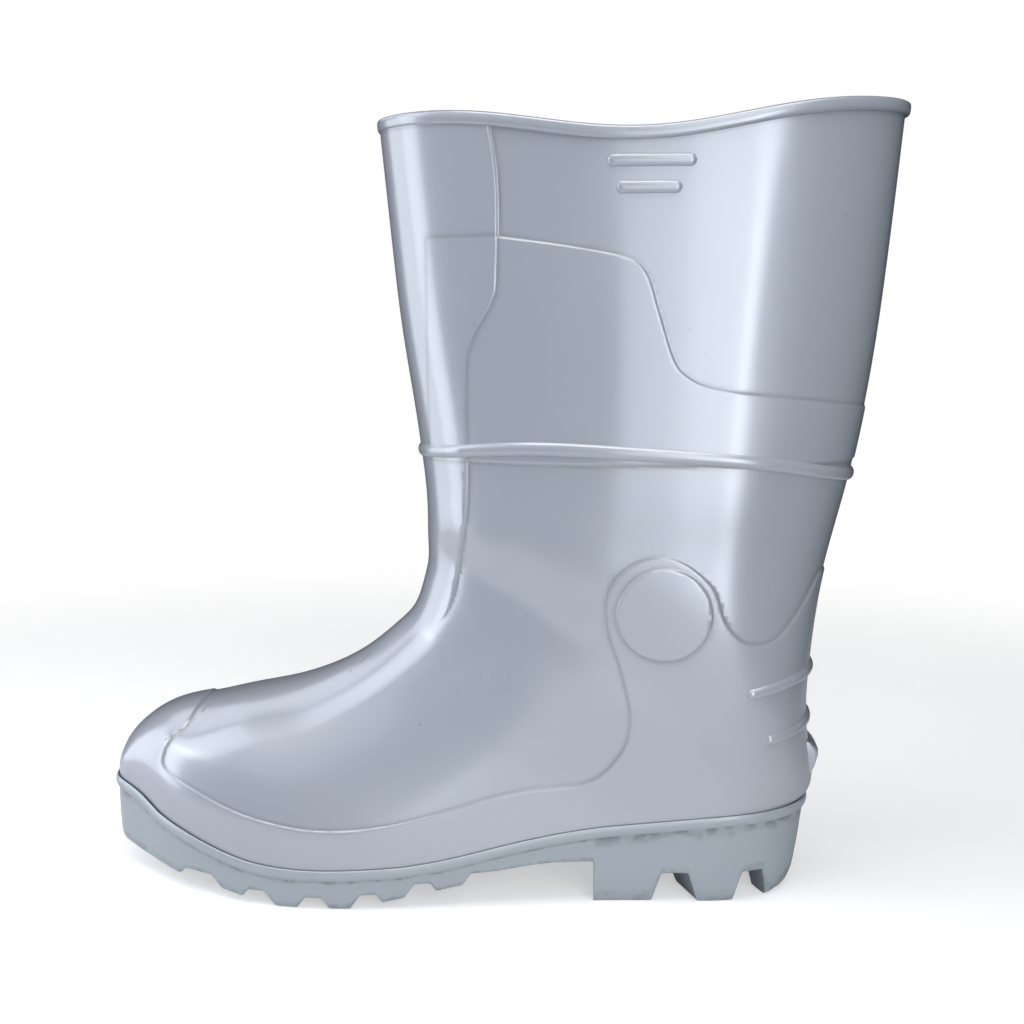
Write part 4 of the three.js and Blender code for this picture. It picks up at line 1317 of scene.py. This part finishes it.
def solePiece():
    ways = rimStations()
    proud = sole["rimProud"]
    tip = ways[-1][0][0, 0]
    heelTip = ways[-1][0][-1, 0]
    middles = {}
    for side, (line, out) in ways.items():
        places = line[:, :2] + out * (0.4 * proud)
        middles[side] = np.maximum.accumulate(chevronOf(places[:, 0], places[:, 1]))
    first = max(middles[-1][0], middles[1][0])
    last = min(middles[-1][-1], middles[1][-1])
    rows = soleRows(first + 0.05, last - 0.05)
    rows = np.concatenate([[first], rows, [last]])
    stations = {}
    for side, (line, out) in ways.items():
        c = middles[side] + np.arange(len(line)) * 1e-7
        place = np.interp(rows, c, np.arange(len(line)))
        place[0], place[-1] = 0, len(line) - 1
        picked = [
            np.stack([np.interp(place, np.arange(len(line)), column) for column in values.T], -1)
            for values in (line, out)
        ]
        stations[side] = (picked[0], unit(picked[1]))
    wallOut = np.array(sole["wallOut"])
    rim = sole["rimTall"]
    rings = {}
    for side, (line, out) in stations.items():
        x, rimZ = line[:, 0], rimHeight(line[:, 0])
        wallTop = rimZ - rim
        tread = treadHeight(x)
        draft = sole["heelDraft"] * np.clip((x - toeEnd) / (heelEnd - toeEnd), 0, 1)

        def outAt(z):
            level = np.clip((z - tread) / np.maximum(wallTop - tread, 1), 0, 1)
            return np.interp(level, wallOut[:, 0], wallOut[:, 1] * proud) - draft * (rimZ - z)

        def ringAt(outward, z):
            return np.column_stack([line[:, 0] + out[:, 0] * outward, line[:, 1] + out[:, 1] * outward, z])

        stack = [ringAt(np.full(len(x), -1.2), rimZ - 3.4), ringAt(np.full(len(x), 0.75), rimZ - 1.6)]
        for angle in np.linspace(80, -84, 15):  # the rim's round ridge
            a = math.radians(angle)
            bulge = (proud - 1.05) * math.cos(a) ** 0.7 + 1.05
            stack.append(ringAt(np.full(len(x), bulge) - draft * rim * (1 - math.sin(a)) / 2,
                                rimZ - rim / 2 + rim / 2 * math.sin(a)))
        edgeRow = underside(line[:, 0] + out[:, 0] * 0.4 * proud, rows)
        bottom = np.minimum(edgeRow, wallTop - 1.5)
        radius = sole["edgeRound"]
        for share in np.linspace(1, 0, sole["wallRings"])[1:]:
            z = mix(bottom + radius, wallTop, share ** 0.9)
            stack.append(ringAt(outAt(z), z))
        for angle in (25, 50, 72, 90):
            a = math.radians(angle)
            z = bottom + radius * (1 - math.sin(a))
            stack.append(ringAt(outAt(z) - radius * (1 - math.cos(a)), z))
        rings[side] = np.stack(stack, 1)
    outer, inner = rings[-1], rings[1]
    count, depth = outer.shape[:2]
    # underside: across from the outer side's last ring to the inner side's
    shares = np.linspace(0, 1, sole["columns"] + 1)[1:-1]
    left, right = outer[:, -1], inner[:, -1]
    y = mix(left[:, 1:2], right[:, 1:2], shares)
    drift = [edge[:, 0] - chevronX(rows, edge[:, 1]) for edge in (left, right)]
    x = chevronX(rows[:, None], y) + mix(drift[0][:, None], drift[1][:, None], shares)
    z = underside(x, np.repeat(rows[:, None], len(shares), 1))
    under = np.stack([x, y, z], -1)
    # seat: across between the first rings, hidden under the footbed
    seatShares = np.linspace(0, 1, 13)[1:-1]
    lo, hi = outer[:, 0], inner[:, 0]
    seatXY = mix(lo[:, None, :], hi[:, None, :], seatShares[None, :, None])
    seatXY[..., 2] = np.minimum(seatHeight(seatXY[..., 0]), seatXY[..., 2])
    grid = np.concatenate([seatXY[:, len(seatShares) // 2::-1], outer, under, inner[:, ::-1],
                           seatXY[:, :len(seatShares) // 2:-1]], axis=1)
    width = grid.shape[1]
    faces = []
    for i in range(count - 1):
        for j in range(width):
            k = (j + 1) % width
            faces.append((i * width + j, i * width + k, (i + 1) * width + k, (i + 1) * width + j))
    faces.append(tuple(range(width))[::-1])
    faces.append(tuple((count - 1) * width + j for j in range(width)))
    seatCount = len(seatShares) // 2 + 1
    # Painted shade: rings 13 to 18 hold a dark line under the rim's round ridge, where its shadow falls. The
    # last six rings, at the bottom edge of the wall, are darkened by half.
    grimeAndShade = np.zeros(grid.shape[:2])
    for column in range(width):
        fromOuter = column - seatCount
        fromInner = width - (len(seatShares) - seatCount) - 1 - column
        for ringNumber in (fromOuter, fromInner):
            if 13 <= ringNumber <= 18:
                grimeAndShade[:, column] = np.maximum(grimeAndShade[:, column], 1 - abs(ringNumber - 16) / 3)
            if depth - 6 <= ringNumber < depth:
                grimeAndShade[:, column] = np.maximum(grimeAndShade[:, column], 0.5)
    points, faces, masks = weld(grid.reshape(-1, 3), faces, {"grimeAndShade": grimeAndShade})
    piece = meshPiece("sole_cup", points, faces, soleMaterial, masks, sharpAbove=48)
    return piece


soleCup = solePiece()
print("sole", len(soleCup.data.polygons))


# Knitted lining, a thin cloth all over the inside, and the footbed.
inside = {"columns": 40, "rowStep": 4.0, "liningGrowth": -2.75, "liningThick": 0.7, "topDrop": 2.4,
          "footbedInset": 5.1}


def liningPiece():
    columns, step = inside["columns"], inside["rowStep"]
    lower = evenRows(step, upper["evenRow"])
    grids = {}
    for side in (-1, 1):
        turns = EvenTurns(side, columns)
        top = turns.rowsOn(lambda x: collarHeight(x) - inside["topDrop"], upper["collarRowsFrom"], lastRow)
        shares = np.linspace(0, 1, int(190 / step))[1:, None]
        rows = np.vstack([np.repeat(lower[:, None], columns + 1, 1),
                          mix(upper["evenRow"], top[None, :], shares)])
        grids[side] = turns.points(rows)
    grid = bothSides(grids[-1], grids[1])
    joined = rows[:, 0] >= heelRow
    normals = gridNormals(grid, joined)
    normals[0] = unit(normals[2].mean(0))
    points = grid + normals * inside["liningGrowth"]
    points[joined, 0] = points[joined, -1]
    rimRows = np.nonzero(~joined)[0]
    rimRows = np.append(rimRows, rimRows[-1] + 1)
    count, width = grid.shape[:2]
    allPoints = [points.reshape(-1, 3)]
    faces = gridFaces(count, width)
    start = count * width
    for end, corner in ((0, 0), (1, width - 1)):
        before = [i * width + corner for i in rimRows]
        out = unit(normals[rimRows, corner] * (1, 1, 0))
        for drop in (1.5, 2.6):
            ring = points[rimRows, corner] - out * (upper["skirtTuck"] * drop / 2.6)
            ring[:, 2] -= drop
            allPoints.append(ring)
            now = list(range(start, start + len(rimRows)))
            start += len(rimRows)
            for i in range(len(rimRows) - 1):
                quad = (before[i], now[i], now[i + 1], before[i + 1])
                faces.append(quad if end else quad[::-1])
            before = now
    points, faces, _ = weld(np.vstack(allPoints), faces, {}, grain=0.02)
    piece = meshPiece("knit_lining", points, faces, liningMaterial)
    thick = piece.modifiers.new("cloth", "SOLIDIFY")
    thick.thickness = inside["liningThick"] * mm
    thick.offset = -1
    return piece


def footbedPiece():
    ways = rimStations()
    stations = np.linspace(0, 1599, 161).astype(int)
    rings = []
    for inset, lift in ((inside["footbedInset"], 0.0), (inside["footbedInset"], 2.9),
                        (inside["footbedInset"] + 0.35, 3.7),
                        (inside["footbedInset"] + 1.1, 4.0), (inside["footbedInset"] + 6, 3.9),
                        (inside["footbedInset"] + 14, 3.6)):
        sides = []
        for side in (-1, 1):
            line, out = ways[side]
            ring = line[stations].copy()
            ring[:, :2] -= out[stations] * inset
            ring[:, 2] = seatHeight(ring[:, 0]) + boot["fitGap"] + lift
            sides.append(ring)
        rings.append(np.vstack([sides[0], sides[1][::-1][1:-1]]))
    width = len(rings[0])
    points = np.vstack(rings)
    faces = []
    for k in range(len(rings) - 1):
        for j in range(width):
            n = (j + 1) % width
            faces.append((k * width + j, k * width + n, (k + 1) * width + n, (k + 1) * width + j))
    half = len(stations)
    for k, flip in ((0, True), (len(rings) - 1, False)):  # closed across, station by station
        for i in range(half - 1):
            a, b = i, i + 1
            c, d = (width - i) % width, width - i - 1
            quad = [k * width + n for n in (a, b, d, c)]
            if i == 0:
                quad = [k * width + n for n in (0, 1, width - 1)]
            if i == half - 2:
                quad = [k * width + n for n in (a, b, c)]
            faces.append(tuple(quad[::-1] if flip else quad))
    return meshPiece("felt_footbed", points, faces, footbedMaterial, sharpAbove=60)


lining = liningPiece()
footbed = footbedPiece()
print("inside", len(lining.data.polygons), len(footbed.data.polygons))


for piece in (foot, shaft, ring, bars, ribs, heelSpur, lining):
    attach(piece, "root")
    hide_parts("upper")
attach(soleCup, "root")
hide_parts("outsole")
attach(footbed, "root")
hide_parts("insole")


# Floor, soft studio light and the camera at the photo's angle.
studio = {
    "cameraAt": (63.232, -561.007, 226.409),
    "turn": -4.0,
    "pitch": 7.809,
    "focal": 1400.0,
    "ambient": (0.80, 0.88, 1.0, 1),
    "ambientStrength": 0.02,
    "floorColour": (0.72, 0.72, 0.72, 1),
    "floorGlow": 0.50,
    "floorFades": (0.26, 0.75),
    "dark": (0.012, 0.016, 0.016, 1),
    # Tall soft boxes round the boot: degrees from the camera, distance, foot, top, width, luminance.
    "boxes": {
        "frontLow": (5, 0.62, 0.0, 0.42, 0.17, 1.9),
        "frontRightLow": (20, 0.62, 0.0, 0.42, 0.17, 3.3),
        "rightLow": (35, 0.62, 0.0, 0.42, 0.17, 5.7),
        "rightHigh": (20, 0.70, 0.50, 0.95, 0.40, 2.8),
        "rightWide": (52, 0.62, 0.0, 0.42, 0.28, 4.8),
        "leftHigh": (-40, 0.70, 0.50, 0.95, 0.40, 0.5),
        "farLeftLow": (-80, 0.62, 0.0, 0.42, 0.17, 3.4),
        "farLeftHigh": (-80, 0.70, 0.44, 0.95, 0.40, 2.3),
        "backLeftLow": (-100, 0.62, 0.0, 0.42, 0.24, 2.1),
        "backLeftHigh": (-120, 0.70, 0.50, 0.95, 0.40, 1.5),
    },
    "boxColour": (0.86, 0.915, 1.0),
    "overhead": {"place": (0.0, -0.30, 1.15), "size": (1.0, 0.6), "luminance": 3.6},
    "boxesStandRound": (0.05, -0.02),
}


def plainSheet(name, corners, colour, roughness):
    mesh = bpy.data.meshes.new(name)
    mesh.from_pydata(corners, [], [(0, 1, 2, 3)])
    material = bpy.data.materials.new(name)
    material.use_nodes = True
    surface = material.node_tree.nodes["Principled BSDF"]
    surface.inputs["Base Color"].default_value = colour
    surface.inputs["Roughness"].default_value = roughness
    mesh.materials.append(material)
    sheet = bpy.data.objects.new(name, mesh)
    bpy.context.scene.collection.objects.link(sheet)
    return sheet, material.node_tree, surface


# The floor fades out into the white of the studio. Its glow is seen by the camera alone.
def floorPiece():
    _, tree, surface = plainSheet("floor", [(-3, -3, 0), (3, -3, 0), (3, 3, 0), (-3, 3, 0)],
                                  studio["floorColour"], 0.9)
    where = addNode(tree, "ShaderNodeTexCoord").outputs["Object"]
    distance = addNode(tree, "ShaderNodeVectorMath", {"operation": "LENGTH"})
    tree.links.new(where, distance.inputs[0])
    near, far = studio["floorFades"]
    fade = addNode(tree, "ShaderNodeMapRange", {"interpolation_type": "SMOOTHSTEP"},
                   {"From Min": near, "From Max": far, "To Min": 1.0, "To Max": 0.0})
    tree.links.new(distance.outputs["Value"], fade.inputs["Value"])
    tree.links.new(fade.outputs["Result"], surface.inputs["Alpha"])
    seen = tree.nodes.new("ShaderNodeLightPath")
    surface.inputs["Emission Color"].default_value = (1, 1, 1, 1)
    tree.links.new(mathNode(tree, "MULTIPLY", seen.outputs["Is Camera Ray"], studio["floorGlow"]),
                   surface.inputs["Emission Strength"])


# A dark board beside the heel, out of the picture, darkens the back of the leg.
def darkBoard():
    corners = [(0.33, -0.42, 0), (0.37, 0.30, 0), (0.37, 0.30, 0.5), (0.33, -0.42, 0.5)]
    board, _, _ = plainSheet("darkBoard", corners, studio["dark"], 0.9)
    board.visible_camera = False


def softBox(name, turn, distance, foot, top, width, luminance):
    data = bpy.data.lights.new(name, "AREA")
    data.shape = "RECTANGLE"
    data.size, data.size_y = width, top - foot
    data.energy = luminance * math.pi * width * (top - foot)
    data.color = studio["boxColour"]
    light = bpy.data.objects.new(name, data)
    x, y = studio["boxesStandRound"]
    a = math.radians(turn)
    middle = (foot + top) / 2
    place = Vector((x + distance * math.sin(a), y - distance * math.cos(a), middle))
    target = Vector((x, 0, middle if foot == 0 else 0.7 * middle))
    light.location = place
    light.rotation_euler = (target - place).to_track_quat("-Z", "Y").to_euler()
    light.visible_camera = False
    bpy.context.scene.collection.objects.link(light)


def overhead():
    lamp = studio["overhead"]
    data = bpy.data.lights.new("overhead", "AREA")
    data.shape = "RECTANGLE"
    data.size, data.size_y = lamp["size"]
    data.energy = lamp["luminance"] * math.pi * data.size * data.size_y
    light = bpy.data.objects.new("overhead", data)
    light.location = lamp["place"]
    light.visible_camera = False
    bpy.context.scene.collection.objects.link(light)


def studioLight():
    world = bpy.data.worlds.new("studio")
    bpy.context.scene.world = world
    world.use_nodes = True
    tree = world.node_tree
    ambient = tree.nodes["Background"]
    ambient.inputs["Color"].default_value = studio["ambient"]
    ambient.inputs["Strength"].default_value = studio["ambientStrength"]
    white = addNode(tree, "ShaderNodeBackground", {}, {"Color": (1, 1, 1, 1), "Strength": 1.0})
    seen = tree.nodes.new("ShaderNodeLightPath")
    blend = tree.nodes.new("ShaderNodeMixShader")
    tree.links.new(seen.outputs["Is Camera Ray"], blend.inputs[0])
    tree.links.new(ambient.outputs[0], blend.inputs[1])
    tree.links.new(white.outputs[0], blend.inputs[2])
    tree.links.new(blend.outputs[0], tree.nodes["World Output"].inputs["Surface"])
    for name, box in studio["boxes"].items():
        softBox(name, *box)
    overhead()


def photoCamera():
    data = bpy.data.cameras.new("camera")
    data.sensor_width = 36
    data.sensor_fit = "HORIZONTAL"
    data.lens = studio["focal"] / 1024 * 36
    data.clip_start = 0.01
    camera = bpy.data.objects.new("camera", data)
    bpy.context.scene.collection.objects.link(camera)
    place = (np.array(studio["cameraAt"]) + offset) * mm
    camera.location = place
    camera.rotation_euler = (math.radians(90 - studio["pitch"]), 0, math.radians(-studio["turn"]))
    bpy.context.scene.camera = camera


floorPiece()
darkBoard()
studioLight()
photoCamera()
bpy.context.scene.view_settings.view_transform = "Standard"
print("studio ready")
